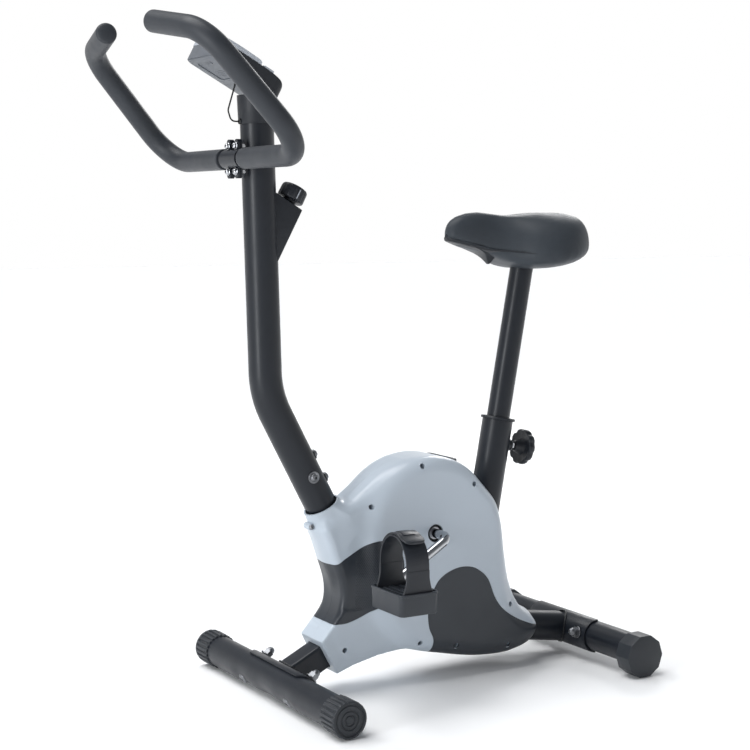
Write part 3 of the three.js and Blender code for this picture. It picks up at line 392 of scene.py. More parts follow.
STRAP_LOOK = finish_look("strap_pvc", (0.017, 0.020, 0.026), 0.36, 0.1, 900, specular=0.42)
ZINC = finish_look("zinc_plate", (0.22, 0.226, 0.24), 0.38, 0.04, 300, spread=0.03, metallic=1.0)
CHROME = finish_look("chrome", (0.50, 0.51, 0.53), 0.13, 0.02, 120, spread=0.02, metallic=1.0)
STEEL = finish_look("brushed_steel", (0.34, 0.35, 0.37), 0.34, 0.12, 500, metallic=1.0)
IRON = finish_look("machined_iron", (0.22, 0.22, 0.23), 0.4, 0.2, 300, metallic=0.9)
SHEATH = finish_look("cable_sheath", (0.006, 0.0065, 0.007), 0.32, 0.05, 800, specular=0.4)
RUBBER = finish_look("belt_rubber", (0.012, 0.012, 0.013), 0.75, 0.3, 1000)
FELT = finish_look("brake_felt", (0.26, 0.22, 0.16), 0.9, 0.8, 1200, sheen=0.3)
BOARD = finish_look("circuit_board", (0.05, 0.2, 0.09), 0.4, 0.2, 400)
RED = finish_look("red_key", (0.4, 0.035, 0.03), 0.4, 0.15, 1200)
LENS = finish_look("smoked_window", (0.02, 0.024, 0.026), 0.08, 0.01, 50, coat=0.5)
WELD = finish_look("painted_weld", (0.012, 0.014, 0.017), 0.42, 0.9, 260, specular=0.42)

# ------------------------------------------------------------------ camera
camera_data = bpy.data.cameras.new("camera")
camera = bpy.data.objects.new("camera", camera_data)
bpy.context.scene.collection.objects.link(camera)
VIEW_AZIMUTH, VIEW_ELEVATION, VIEW_ROLL = math.radians(59.4), math.radians(5.63), math.radians(-0.05)
camera.location = row(at(2199.3, -1119.1, 748.0))
backward = Vector((
    math.sin(VIEW_AZIMUTH) * math.cos(VIEW_ELEVATION),
    -math.cos(VIEW_AZIMUTH) * math.cos(VIEW_ELEVATION),
    math.sin(VIEW_ELEVATION),
))
rightward = (-backward).cross(Vector((0, 0, 1))).normalized()
upward = rightward.cross(-backward)
turn = Matrix((rightward, upward, backward)).transposed() @ Matrix.Rotation(VIEW_ROLL, 3, "Z")
camera.rotation_euler = turn.to_euler()
camera_data.sensor_width, camera_data.lens = 36, 77.79
camera_data.clip_start, camera_data.clip_end = 0.05, 60
bpy.context.scene.camera = camera

# ------------------------------------------------------------------ console lead
LEAD_ROUTE = [
    at(0, -54, 956), at(0, -60, 938), at(0, -71, 903), at(0, -66, 887), at(0, -46, 887), at(-7, -30, 868),
    at(-7, -22, 680), at(-7, -20, 470), at(-7, 76, 285), at(-18, 124, 262), at(-40, 196, 250),
    at(-40, 222, 241),
]
LEAD_R = 1.2


def console_lead():
    stations = bent(LEAD_ROUTE, 9, 5)
    lead = piece(tube("console_lead_wire", stations, LEAD_R, sides=16), SHEATH, "frame", "cable_sheath",
                 "console_lead")


console_lead()


# ------------------------------------------------------------------ fasteners
def hexagon(radius):
    return [(radius * math.cos(math.pi * k / 3), radius * math.sin(math.pi * k / 3)) for k in range(6)]


def hex_prism(name, origin, axis, radius, height):
    """A hexagon with its corners turned down, as on a nut."""
    u, v = across(axis)
    prism = extruded(name, hexagon(radius), origin, u, v, (0, height))
    flat = radius * 0.9
    dome = turned("dome", [(0, -1), (radius + 1, -1), (radius + 1, height * 0.78), (flat, height),
                           (0, height)],
                  origin, axis, 32)
    return boolean(prism, "INTERSECT", dome)


def washer(name, origin, axis, radius, hole, thick):
    edge = min(0.4, thick / 3)
    profile = [(hole, 0), (radius, 0), (radius, thick - edge), (radius - edge, thick), (hole, thick),
               (hole, 0)]
    return turned(name, profile, origin, axis, 40)


def acorn_nut(name, origin, axis):
    """A washer, a hexagon and the dome that covers the thread."""
    dome = [(0, 8), (6.4, 8), (6.4, 10), (5.7, 13), (4.1, 15.4), (2, 16.7), (0, 17)]
    return merged(name, [
        washer("washer", origin, axis, 10, 4.2, 1.7),
        hex_prism("hex", origin + axis * 1.8, axis, 8.4, 7.2),
        turned("cap", dome, origin, axis, 40),
    ])


def button_head(name, origin, axis, radius=6.2, height=4.6):
    """A domed head with a hexagon socket."""
    dome = [(0, 0), (radius, 0), (radius, 0.8), (radius * 0.93, height * 0.55),
            (radius * 0.72, height * 0.88), (radius * 0.5, height), (0, height)]
    head = turned(name, dome, origin, axis, 40)
    u, v = across(axis)
    socket = extruded("socket", hexagon(radius * 0.42), origin + axis * (height * 0.35), u, v, (0, height))
    return cut(head, socket)


def bolt_line(foot):
    angle = math.radians(foot["bolt_angle"])
    return at(0, math.cos(angle), math.sin(angle))


def foot_bolts():
    for where, foot in (("front", FRONT_FOOT), ("rear", REAR_FOOT)):
        along = bolt_line(foot)
        plate_top = FOOT_R + 4.2
        for hand, side in (("left", 1), ("right", -1)):
            middle = at(side * foot["bolt_x"], foot["y"], foot["z"])
            nut = acorn_nut("nut", middle + along * plate_top, along)
            sunk = 20.5 if where == "front" else 24.2
            head = button_head("head", middle - along * sunk, -along, 9, 4.6)
            shank = rod("shank", middle - along * (sunk + 0.3), middle + along * plate_top, 4, 20)
            bolt = merged(f"{where}_foot_bolt_and_nut_{hand}", [nut, head, shank])
            piece(bolt, ZINC, "frame", "chrome", f"{where}_foot_bolt_{hand}", sharp=30)


foot_bolts()


# ------------------------------------------------------------------ foot tubes and caps
def front_foot_tube():
    """The middle of the tube is pressed in where the bolts pull on it."""
    end = FRONT_FOOT["width"] / 2 - 4.5
    count, sides, press = 96, 72, 3.2
    dent_angle = math.radians(FRONT_FOOT["bolt_angle"] + 180)
    outer, bore = [], []
    for i in range(count + 1):
        x = -end + 2 * end * i / count
        middle = at(x, FRONT_FOOT["y"], FRONT_FOOT["z"])
        reach = max(0.0, 1 - (abs(x) / 104) ** 4)
        ripple = 0.72 + 0.28 * math.cos(abs(x) / FRONT_FOOT["bolt_x"] * math.pi * 2)
        ring = []
        for k in range(sides):
            t = 2 * math.pi * k / sides
            facing = max(0.0, math.cos(t - dent_angle))
            radius = FOOT_R - press * reach * ripple * facing**3
            ring.append(middle + at(0, math.cos(t), math.sin(t)) * radius)
        outer.append(ring)
        bore.append([middle + (p - middle) * (1 - 2 / FOOT_R) for p in ring])
    return skin("front_foot_pressed_tube", outer + bore[::-1], closed=True)


piece(front_foot_tube(), BLACK_PAINT, "frame", "black_paint", "front_foot_tube")
rear_end = REAR_FOOT["width"] / 2 - 4.5
rear_line = [(at(x, REAR_FOOT["y"], REAR_FOOT["z"]), X_AXIS) for x in (-rear_end, rear_end)]
piece(tube("rear_foot_round_tube", rear_line, FOOT_R, inner=FOOT_R - 2, sides=72), BLACK_PAINT, "frame",
      "black_paint", "rear_foot_tube")


def ribbed_cap(hand, side):
    """Stations are (distance from the outer end, radius, rib depth)."""
    ribs, per_rib, top, depth = 22, 12, 28.3, 2.6
    stations = [(42, 25.3, 0), (42, top - 1.6, depth * 0.4), (41.2, top - 0.5, depth), (5.5, top, depth),
                (4.6, top, depth * 0.5), (4.2, top - 0.2, depth * 0.6), (1.2, top - 0.4, depth * 0.4),
                (0.3, top - 0.9, 0), (0, top - 2, 0), (0, 24.6, 0), (1.8, 23.8, 0), (1.8, 21.8, 0),
                (0.6, 20.8, 0), (0.6, 15.6, 0), (1.9, 14.8, 0), (1.9, 13.0, 0), (0.6, 12.2, 0),
                (0.6, 9.2, 0), (1.9, 8.4, 0), (1.9, 6.6, 0), (0.4, 5.8, 0), (0.4, 0.01, 0)]
    middle = at(0, FRONT_FOOT["y"], FRONT_FOOT["z"])
    rings = []
    for distance, radius, rib in stations:
        x = side * (FRONT_FOOT["width"] / 2 - distance)
        ring = []
        for k in range(ribs * per_rib):
            t = -math.pi / 2 + 2 * math.pi * k / (ribs * per_rib)
            phase = 0.5 - 0.5 * math.cos(ribs * (t + math.pi / 2))
            groove = min(1, max(0, (phase - 0.40) / 0.35))
            reach = radius - rib * groove
            ring.append(middle + at(x, math.cos(t) * reach, math.sin(t) * reach))
        rings.append(ring)
    inner_end = side * (FRONT_FOOT["width"] / 2 - 4)
    bore = [circle(middle + at(x, 0, 0), at(0, 0, -1), at(0, 1, 0), 25.3, ribs * per_rib)
            for x in (inner_end, side * (FRONT_FOOT["width"] / 2 - 42))]
    floor = [circle(middle + at(inner_end, 0, 0), at(0, 0, -1), at(0, 1, 0), 0.01, ribs * per_rib)]
    cap = skin(f"front_ribbed_cap_{hand}", floor + bore + rings[1:], merge=True)
    piece(cap, CAP_PLASTIC, "frame", "black_plastic", f"front_end_cap_{hand}", sharp=50)


def decagon(apothem, middle_z):
    radius = apothem / math.cos(math.pi / 10)
    turns = [-math.pi / 2 + 2 * math.pi * (i + 0.5) / 10 for i in range(10)]
    return [(REAR_FOOT["y"] + radius * math.cos(t), middle_z + radius * math.sin(t)) for t in turns]


def levelling_cap(hand, side):
    """An off-centre ten-sided cap: turning it lifts or lowers that corner."""
    outer = REAR_FOOT["width"] / 2
    ends = sorted((side * (outer - 33), side * outer))
    cap = bevel(slab(f"rear_ten_sided_cap_{hand}", decagon(REAR_CAP_APOTHEM, REAR_CAP_APOTHEM), *ends), 0.9,
                3)
    hollow = rod("hollow", at(side * (outer - 50), REAR_FOOT["y"], REAR_FOOT["z"]),
                 at(side * (outer - 4), REAR_FOOT["y"], REAR_FOOT["z"]), FOOT_R + 0.3, 72)
    piece(cut(cap, hollow), CAP_PLASTIC, f"levelling_cap_{hand}", "black_plastic",
          f"rear_levelling_cap_{hand}", sharp=30)


for hand, side in (("left", 1), ("right", -1)):
    ribbed_cap(hand, side)
    levelling_cap(hand, side)


# ------------------------------------------------------------------ welded frame
def tube_at(y):
    return TUBE_FRONT + TUBE_AXIS * ((y - TUBE_FRONT.y) / TUBE_AXIS.y)


def stub_at(z):
    return POST_END + STUB_AXIS * ((z - POST_END.z) / STUB_AXIS.z)


def post_at(z):
    return POST_KNEE + POST_UP * ((z - POST_KNEE.z) / POST_UP.z)


def seat_down(distance):
    return SEAT_TUBE_TOP - SEAT_AXIS * distance


def knob_at(distance):
    return SEAT_KNOB_AT + KNOB_AXIS * distance


RAIL_ALONG = at(0, math.cos(RAIL_SLOPE), math.sin(RAIL_SLOPE))
RAIL_UP = at(0, -math.sin(RAIL_SLOPE), math.cos(RAIL_SLOPE))


def rail(name, grow, start, end, corner=5):
    """The square front rail, or with some growth a cutter for the hole it goes through."""
    side = RAIL_SIDE + 2 * grow
    outline = rounded_rectangle(side, side, corner)
    return extruded(name, outline, RAIL_MIDDLE, X_AXIS, RAIL_UP, (-end, -start))


def shell_plate(name, foot, from_angle, to_angle, half, thick=3.0):
    """Part of a round shell over a foot tube."""
    inner, outer, steps = FOOT_R + 0.3, FOOT_R + 0.3 + thick, 36
    turns = [math.radians(from_angle + (to_angle - from_angle) * k / steps) for k in range(steps + 1)]
    outline = [(foot["y"] + outer * math.cos(t), foot["z"] + outer * math.sin(t)) for t in turns]
    outline += [(foot["y"] + inner * math.cos(t), foot["z"] + inner * math.sin(t)) for t in turns[::-1]]
    return slab(name, outline, -half, half)


def plate_corner(side):
    points = [(side * 100, -20), (side * 100, 20), (side * 84, 4), (side * 68, -20)]
    return extruded("corner", points if side > 0 else points[::-1], at(0, 0, 40), X_AXIS, at(0, 1, 0),
                    (0, 40))


def foot_space(foot):
    return rod("space", at(-140, foot["y"], foot["z"]), at(140, foot["y"], foot["z"]), FOOT_R + 0.25, 72)


def bead(name, points, radius=2.6):
    """A weld bead: a closed loop of overlapping ripples."""
    rings, total = [], len(points)
    for i, place in enumerate(points):
        along = (points[(i + 1) % total] - points[i - 1]).normalized()
        u = along.cross(at(0.3, 0.5, 0.8)).normalized()
        ripple = 1 + 0.16 * math.sin(i * 2.2)
        rings.append(circle(place, u, along.cross(u), radius * ripple, 10))
    return skin(name, rings, closed=True)


def resampled(points, step):
    """Points an even step apart along a closed loop."""
    points = points + [points[0]]
    lengths = [0]
    for a, b in zip(points, points[1:]):
        lengths.append(lengths[-1] + (b - a).length)
    count = max(8, int(lengths[-1] / step))
    found, i = [], 0
    for k in range(count):
        wanted = lengths[-1] * k / count
        while lengths[i + 1] < wanted:
            i += 1
        share = (wanted - lengths[i]) / max(lengths[i + 1] - lengths[i], 1e-9)
        found.append(points[i].lerp(points[i + 1], share))
    return found


def base_frame():
    front = cut(bevel(cut(shell_plate("front_plate", FRONT_FOOT, -8, 100, FRONT_FOOT["plate"]),
                          plate_corner(1), plate_corner(-1)), 0.8, 2), foot_space(FRONT_FOOT))
    rear = cut(bevel(shell_plate("rear_plate", REAR_FOOT, 84, 266, REAR_FOOT["plate"]), 0.8, 2),
               foot_space(REAR_FOOT))
    front_rail = cut(rail("front_rail", 0, -88, 80), foot_space(FRONT_FOOT))
    main = cut(rod("main_tube", TUBE_FRONT, TUBE_REAR, TUBE_R, 72), foot_space(REAR_FOOT))
    hub = rod("hub", at(-28, 278, 140), at(28, 278, 140), 13)
    web = box("web", (-14, 267, 96), (14, 289, 134))
    peg = rod("peg", at(-20, 335, 75), at(-45, 335, 75), 3.5, 24)
    welded = join(main, front_rail, web, hub, peg)
    body = merged("welded_base_frame", [welded, front, rear])
    piece(body, BLACK_PAINT, "frame", "black_paint", "base_frame", sharp=32)
    reach = RAIL_ALONG * -70
    corners = [RAIL_MIDDLE + reach + X_AXIS * a + RAIL_UP * b for a, b in rounded_rectangle(41, 41, 5)]
    middle = at(0, FRONT_FOOT["y"], FRONT_FOOT["z"])
    on_plate = []
    for p in resampled(corners, 2.2):
        flat = at(0, p.y, p.z) - middle
        along = RAIL_ALONG
        b = flat.dot(along)
        c = flat.length_squared - (FOOT_R + 4.6) ** 2
        shift = -b + math.sqrt(max(b * b - c, 0))
        on_plate.append(p + along * shift)
    front_bead = bead("front_weld_bead", on_plate, 1.9)
    u, v = across(TUBE_AXIS)
    ring = []
    rear_middle = at(0, REAR_FOOT["y"], REAR_FOOT["z"])
    for p in circle(tube_at(520), u, v, TUBE_R + 0.8, 90):
        flat = at(0, p.y, p.z) - rear_middle
        b = flat.dot(TUBE_AXIS)
        c = flat.length_squared - (FOOT_R + 4.4) ** 2
        if b * b - c > 0:
            ring.append(p + TUBE_AXIS * (-b - math.sqrt(b * b - c)))
        else:
            ring.append(p - TUBE_AXIS * b)
    piece(front_bead, WELD, "frame", "black_paint")
    piece(bead("rear_weld_bead", ring, 1.7), WELD, "frame", "black_paint")


base_frame()


def stub_and_brackets():
    line = [(stub_at(388), STUB_AXIS), (stub_at(124), STUB_AXIS)]
    piece(tube("post_stub_tube", line, POST_R - POST_WALL - 0.3, inner=21.4, sides=64), BLACK_PAINT, "frame",
          "black_paint", "post_stub")
    line = [(seat_down(0), -SEAT_AXIS), (seat_down(318), -SEAT_AXIS)]
    seat_tube = tube("seat_tube_pipe", line, 25.4, inner=23.4, sides=72)
    boss = turned("boss", [(0, 22), (9.5, 22), (9.5, 32), (8.7, 33), (0, 33)], SEAT_KNOB_AT, KNOB_AXIS, 40)
    bore = rod("bore", knob_at(15), knob_at(40), 5.3, 24)
    space = rod("space", tube_at(300), tube_at(440), TUBE_R + 0.3, 48)
    piece(cut(join(seat_tube, boss), bore, space), BLACK_PAINT, "frame", "black_paint", "seat_tube", sharp=32)


stub_and_brackets()


# ------------------------------------------------------------------ front post and clamp
def strap_ears(name, y0, y1):
    """Two upright strips with rounded ends that carry the clamp bolts."""
    strips = []
    for x in (-13, 13):
        outline = rounded_rectangle(12.5, 58, 6.2, 8, (x, BAR_MIDDLE.z))
        strips.append(extruded(name, outline, at(0, y1, 0), X_AXIS, at(0, 0, 1), (0, y1 - y0)))
    return strips


def half_channel(name, rear):
    """Half of a short sleeve round the bar."""
    sleeve = turned(name, [(BAR_R + 0.3, -27), (14.2, -27), (14.2, 27), (BAR_R + 0.3, 27),
                           (BAR_R + 0.3, -27)],
                    BAR_MIDDLE, X_AXIS, 64)
    y0, y1 = (BAR_MIDDLE.y - 40, BAR_MIDDLE.y + 0.4) if rear else (BAR_MIDDLE.y - 0.4, BAR_MIDDLE.y + 40)
    return cut(sleeve, box("half", (-60, y0, 780), (60, y1, 880)))


def bar_bore():
    return rod("bore", at(-60, BAR_MIDDLE.y, BAR_MIDDLE.z), at(60, BAR_MIDDLE.y, BAR_MIDDLE.z), BAR_R + 0.3,
               64)


def front_post():
    post = tube("front_post_pipe", bent([POST_TOP, POST_KNEE, POST_END], POST_BEND_R, 24), POST_R,
                inner=POST_R - POST_WALL, sides=80)
    gusset = box("gusset", (-10, BAR_MIDDLE.y + 3, BAR_MIDDLE.z - 14),
                 (10, BAR_MIDDLE.y + 14, BAR_MIDDLE.z + 14))
    lead_hole = rod("hole", at(0, -70, 887), at(0, -30, 887), 2.8, 20)
    saddle = join(half_channel("saddle", True), *strap_ears("ear", BAR_MIDDLE.y + 0.4, BAR_MIDDLE.y + 3.4),
                  gusset)
    saddle = cut(saddle, bar_bore())
    post_space = rod("space", post_at(760), post_at(900), POST_R - 0.2, 80)
    saddle = cut(saddle, post_space)
    post = merged("front_post_pipe", [cut(post, lead_hole), saddle])
    piece(post, BLACK_PAINT, "frame", "black_paint", "front_post", sharp=32)
    cap = join(half_channel("handlebar_clamp_front", False),
               *strap_ears("ear", BAR_MIDDLE.y - 4, BAR_MIDDLE.y - 0.4))
    cap = cut(cap, bar_bore())
    piece(cap, BLACK_PAINT, "frame", "black_paint", "handlebar_clamp_cap", sharp=32)
    forward = at(0, -1, 0)
    for level, z in (("upper", 19), ("lower", -19)):
        parts = []
        for x in (-13, 13):
            place = at(x, BAR_MIDDLE.y, BAR_MIDDLE.z + z)
            parts += [
                washer("washer", place + forward * 4.4, forward, 5.6, 3.1, 1.3),
                button_head("head", place + forward * 5.8, forward, 4.6, 3.8),
                rod("shank", place - forward * 9.5, place + forward * 5, 2.9, 20),
                hex_prism("nut", place - forward * 4.0, -forward, 4.9, 4.2),
            ]
        piece(merged(f"clamp_bolts_and_nuts_{level}", parts), CHROME, "frame", "chrome",
              f"clamp_bolt_{level}", sharp=30)
    for z in (366, 329):
        name = "upper" if z > 340 else "lower"
        place = stub_at(z)
        bolt = merged(f"post_socket_bolt_rear_{name}", [
            washer("washer", place + REAR_OF_STUB * 25.7, REAR_OF_STUB, 9, 4.1, 1.6),
            button_head("head", place + REAR_OF_STUB * 27.3, REAR_OF_STUB, 6.6, 5),
            rod("shank", place + REAR_OF_STUB * 16, place + REAR_OF_STUB * 27.4, 4, 20),
        ])
        piece(bolt, ZINC, "frame", "chrome", f"post_bolt_rear_{name}", sharp=30)
    place = stub_at(346)
    parts = [rod("shank", place - X_AXIS * 27, place + X_AXIS * 27, 4, 20)]
    for way in (X_AXIS, -X_AXIS):
        parts.append(washer("washer", place + way * 25.5, way, 9.4, 4.1, 1.7))
        parts.append(button_head("head", place + way * 27.2, way, 6.8, 5))
    piece(merged("post_socket_bolt_across", parts), ZINC, "frame", "chrome", "post_through_bolt", sharp=30)


front_post()


# ------------------------------------------------------------------ handlebar
def mirrored(p):
    return at(-p.x, p.y, p.z)


def handlebar():
    line = [BAR_TIP, BAR_UPPER, BAR_LOWER, mirrored(BAR_LOWER), mirrored(BAR_UPPER), mirrored(BAR_TIP)]
    pipe = tube("handlebar_pipe", bent(line, BAR_BEND_R, 14), BAR_R, inner=BAR_R - 1.5, sides=48)
    piece(pipe, BLACK_PAINT, "handlebar", "black_paint", "handlebar_tube")
    for hand, side in (("left", 1), ("right", -1)):
        def hand_side(p):
            return at(side * p.x, p.y, p.z)

        along = (BAR_TIP - BAR_UPPER).normalized()
        start, way = at(34, BAR_MIDDLE.y, BAR_MIDDLE.z), X_AXIS
        edge = [(start, way, 14.6), (start + way * 0.5, way, 15.5), (start + way * 1.6, way, GRIP_R)]
        run = [(p, d, GRIP_R)
               for p, d in bent([start + way * 3, BAR_LOWER, BAR_UPPER, BAR_TIP], BAR_BEND_R, 18)]
        dome = [(2.0, 15.7), (3.4, 15.1), (4.0, 14.4), (4.5, 14.1), (5.1, 13.2), (6.0, 10.8), (6.7, 7.6),
                (7.1, 4), (7.2, 0.4)]
        tip = [(BAR_TIP + along * d, along, r) for d, r in dome]
        stations = [(hand_side(p), at(side * d.x, d.y, d.z), r) for p, d, r in edge + run + tip]
        grip = tube(f"foam_grip_{hand}", [(p, d) for p, d, _ in stations], [r for _, _, r in stations],
                    sides=64)
        piece(grip, FOAM, "handlebar", "foam", f"handlebar_grip_{hand}", sharp=60)


handlebar()

# ------------------------------------------------------------------ console
FACE_OUT = at(0, math.sin(CONSOLE_TILT), math.cos(CONSOLE_TILT))
FACE_DOWN = at(0, math.cos(CONSOLE_TILT), -math.sin(CONSOLE_TILT))


def on_console(name, outline, h0, h1):
    """An outline of (across, down the face) raised from height h0 to h1 above the flat back."""
    w = X_AXIS.cross(FACE_DOWN)
    depth = (h0, h1) if w.dot(FACE_OUT) > 0 else (-h1, -h0)
    return extruded(name, outline, CONSOLE_CORNER, X_AXIS, FACE_DOWN, depth)


def console_side(name, profile, half):
    """A side profile of (down the face, height) extruded across the console."""
    rings = [[CONSOLE_CORNER + FACE_DOWN * s + FACE_OUT * h + X_AXIS * x for s, h in profile]
             for x in (-half, half)]
    return skin(name, rings)


def console():
    middle = (0, CONSOLE_LENGTH / 2 - 6)
    plan = rounded_rectangle(2 * CONSOLE_HALF, CONSOLE_LENGTH, 13, 8, middle)

    inner_plan = rounded_rectangle(96, 119, 11, 8, middle)
    back = bevel(on_console("console_back_cover", inner_plan, 0, 6), 1.2, 3, 50)
    front_wall = boolean(on_console("front_wall", plan, 1.6, 26), "INTERSECT",
                         on_console("front", [(-60, -10), (60, -10), (60, 9), (-60, 9)], 0, 30))
    front_wall = cut(front_wall, on_console("inside", rounded_rectangle(94, 66, 10, 6, (0, 29.5)), 6, 40))
    back = join(back, front_wall)
    recess = rounded_rectangle(64, 46, 6, 6, (0, 31))
    vents = [on_console("vent", rounded_rectangle(30, 2, 0.9, 3, (0, 70 + 4.5 * i)), -1, 2) for i in range(5)]
    back = cut(back, on_console("recess", recess, -1, 1.1), *vents,
               on_console("lead_hole", [(5 * math.cos(t / 8 * math.tau),
                                         93 + 5 * math.sin(t / 8 * math.tau))
                                        for t in range(8)], -1, -0.5))
    piece(back, GREY_PLASTIC, "frame", "grey_plastic", "console_back_shell", sharp=32)

    door = bevel(on_console("console_battery_door", rounded_rectangle(57, 39, 4, 6, (0, 30)), 1.2, 3.2), 0.5,
                 2, 50)
    catch = cut(on_console("catch", rounded_rectangle(20, 7, 2, 4, (0, 12.5)), 0.4, 1.3),
                on_console("slot", rounded_rectangle(13, 2.4, 1, 4, (0, 12.5)), -1, 0.9))
    ribs = [on_console("rib", rounded_rectangle(34, 1.6, 0.7, 3, (0, 34 + 4 * i)), 0.7, 1.3)
            for i in range(4)]
    piece(merged("console_battery_door", [door, catch, *ribs]), GREY_PLASTIC, "battery_door", "grey_plastic",
          "console_battery_cover", sharp=32)

    crown = catmull([(-6, 26.6), (40, 27.4), (84, 27), (102, 25), (111, 21), (115.6, 15), (117, 8)], 8,
                    closed=False)
    profile = [(-6, 1.6), *crown, (117, 1.6)]
    housing = boolean(console_side("console_dark_housing", profile, CONSOLE_HALF), "INTERSECT",
                      on_console("plan", plan, 0, 40))
    window = on_console("window", rounded_rectangle(62, 34, 3, 4, (0, 42)), 12, 40)
    key_hole = on_console("key", [(6.5 * math.cos(t / 24 * math.tau), 97 + 6.5 * math.sin(t / 24 * math.tau))
                                  for t in range(24)], 12, 40)
    hollow = on_console("hollow", rounded_rectangle(96.6, 140, 11, 8, (0, 44.8)), 0, 22)
    front = on_console("front", [(-60, -10), (60, -10), (60, 9.4), (-60, 9.4)], 0, 26.2)
    housing = cut(housing, hollow, window, key_hole, front)
    piece(housing, BLACK_PLASTIC, "frame", "black_plastic", "console_housing", sharp=32)

    face_plan = rounded_rectangle(2 * CONSOLE_HALF + 0.6, 78, 11, 8, (0, 32.7))
    top_line = [(-6.4, 24.5), (-6.2, 29), (-2, 32.6), (26, 34), (50, 33.8), (67, 33), (70.6, 29.8)]
    face_profile = catmull(top_line, 8, closed=False)
    face = boolean(console_side("console_silver_face", [(-6.4, 23.6), *face_profile, (70.6, 27.6),
                                                        (20, 27.5)],
                                CONSOLE_HALF + 0.3),
                   "INTERSECT", on_console("plan", face_plan, 0, 50))
    inner = on_console("inner", rounded_rectangle(2 * CONSOLE_HALF - 2, 130, 12, 8, (0, 60)), 0, 27.6)
    face = cut(face, inner, on_console("window", rounded_rectangle(67, 39, 3.5, 5, (0, 42)), 12, 60))
    piece(bevel(face, 0.5, 2, 45), SILVER, "frame", "silver_plastic", "console_face", sharp=32)

    strip = bevel(on_console("console_key_strip", rounded_rectangle(99, 19, 3, 5, (0, 82.5)), 24.8, 30.2),
                  0.6, 2, 50)
    strip = cut(strip, on_console("key", [(7.2 * math.cos(t / 32 * math.tau),
                                           97 + 7.2 * math.sin(t / 32 * math.tau))
                                          for t in range(32)], 12, 40))
    piece(strip, SILVER, "frame", "silver_plastic", sharp=32)

    lens = bevel(on_console("console_window", rounded_rectangle(66, 38, 3, 5, (0, 42)), 27.3, 31.2), 0.5, 2,
                 50)
    piece(lens, LENS, "frame", "lens_plastic", "console_lens", sharp=32)
    origin = CONSOLE_CORNER + FACE_DOWN * 97 + FACE_OUT * 19
    key = turned("console_round_key", [(0, 0), (6, 0), (6, 9.4), (5.4, 10.4), (4.4, 10.9), (3, 10.5),
                                       (0, 10.2)],
                 origin, FACE_OUT, 40)
    piece(key, RED, "console_key", "red_plastic", "console_button", sharp=32)


console()


def console_bracket():
    bottom = post_at(884.5)
    sleeve = turned("console_sleeve", [(25.9, 0), (27.4, 0), (27.9, 0.8), (28.8, 52), (22, 52), (22, 21),
                                       (25.9, 21), (25.9, 0)],
                    bottom, POST_UP, 80)
    above = on_console("above", [(-130, -80), (130, -80), (130, 200), (-130, 200)], -0.3, 90)
    flat = box("flat", (-60, -90, 926), (60, 40, 990))
    hole = rod("hole", at(0, -80, 887.3), at(0, -40, 887.3), 2.9, 24)
    piece(cut(sleeve, above, flat, hole), BLACK_PLASTIC, "frame", "black_plastic", "console_bracket",
          sharp=32)
    grommet = turned("lead_grommet", [(1.7, 0), (4.4, 0), (4.4, 1.0), (3.6, 1.8), (1.7, 1.8), (1.7, 0)],
                     at(0, -51.6, 887.2), at(0, -1, 0), 32)
    piece(grommet, SHEATH, "frame", "cable_sheath")


console_bracket()

# ------------------------------------------------------------------ tension unit
TENSION_UP = at(0, math.sin(TENSION_TILT), math.cos(TENSION_TILT))


def tension_unit():
    side = [(-12, 789), (44, 756), (1.5, 678), (-12, 678)]
    housing = bevel(slab("tension_box", side, -18, 18), 1.6, 3, 40)
    inside = slab("inside", [(-20, 786), (39.5, 755), (1, 686), (-20, 686)], -15.5, 15.5)
    post = rod("post", post_at(640), post_at(820), POST_R - 0.3, 80)
    stem_hole = rod("stem", TENSION_TOP - TENSION_UP * 20, TENSION_TOP + TENSION_UP * 10, 4.4, 24)
    piece(cut(housing, inside, post, stem_hole), BLACK_PAINT, "frame", "black_paint", "tension_housing",
          sharp=32)

    u, v = X_AXIS, TENSION_UP.cross(X_AXIS)
    flutes, per = 18, 6
    rings = []
    for height, radius, depth in ((5, 19.4, 0), (5.6, 20.4, 0.4), (7, 21, 0.8), (22, 20.6, 0.8),
                                  (24.4, 20, 0.4), (26, 18.6, 0), (26.8, 16.4, 0), (26.4, 14.6, 0),
                                  (26.1, 14.2, 0), (26.1, 0.01, 0)):
        ring = []
        for k in range(flutes * per):
            t = 2 * math.pi * k / (flutes * per)
            r = radius - depth * (0.5 - 0.5 * math.cos(flutes * t)) ** 3
            ring.append(TENSION_TOP + TENSION_UP * height + (u * math.cos(t) + v * math.sin(t)) * r)
        rings.append(ring)
    bottom = circle(TENSION_TOP + TENSION_UP * 5, u, v, 0.01, flutes * per)
    knob = skin("tension_dial", [bottom] + rings, merge=True)
    stem = rod("stem", TENSION_TOP - TENSION_UP * 18, TENSION_TOP + TENSION_UP * 6, 4, 24)
    skirt = turned("skirt", [(0, 1.2), (9.5, 1.2), (10.5, 2), (10.5, 5.4), (0, 5.4)], TENSION_TOP, TENSION_UP,
                   40)
    knob = merged("tension_dial", [knob, stem, skirt])
    piece(knob, BLACK_PLASTIC, "tension_dial", "black_plastic", "tension_knob", sharp=40)
    # A thin raised silver strip down the dial's side: a painted highlight standing for the vertical highlight
    # the lamps draw on the glossy knob.
    highlight_strip = extruded("tension_dial_highlight_strip", rounded_rectangle(1.4, 15, 0.6, 4, (0, 0)),
                    TENSION_TOP + TENSION_UP * 14.5 + u * 20.65, v, TENSION_UP, (0, 0.45))
    piece(highlight_strip, SILVER, "tension_dial", "silver_plastic")


tension_unit()


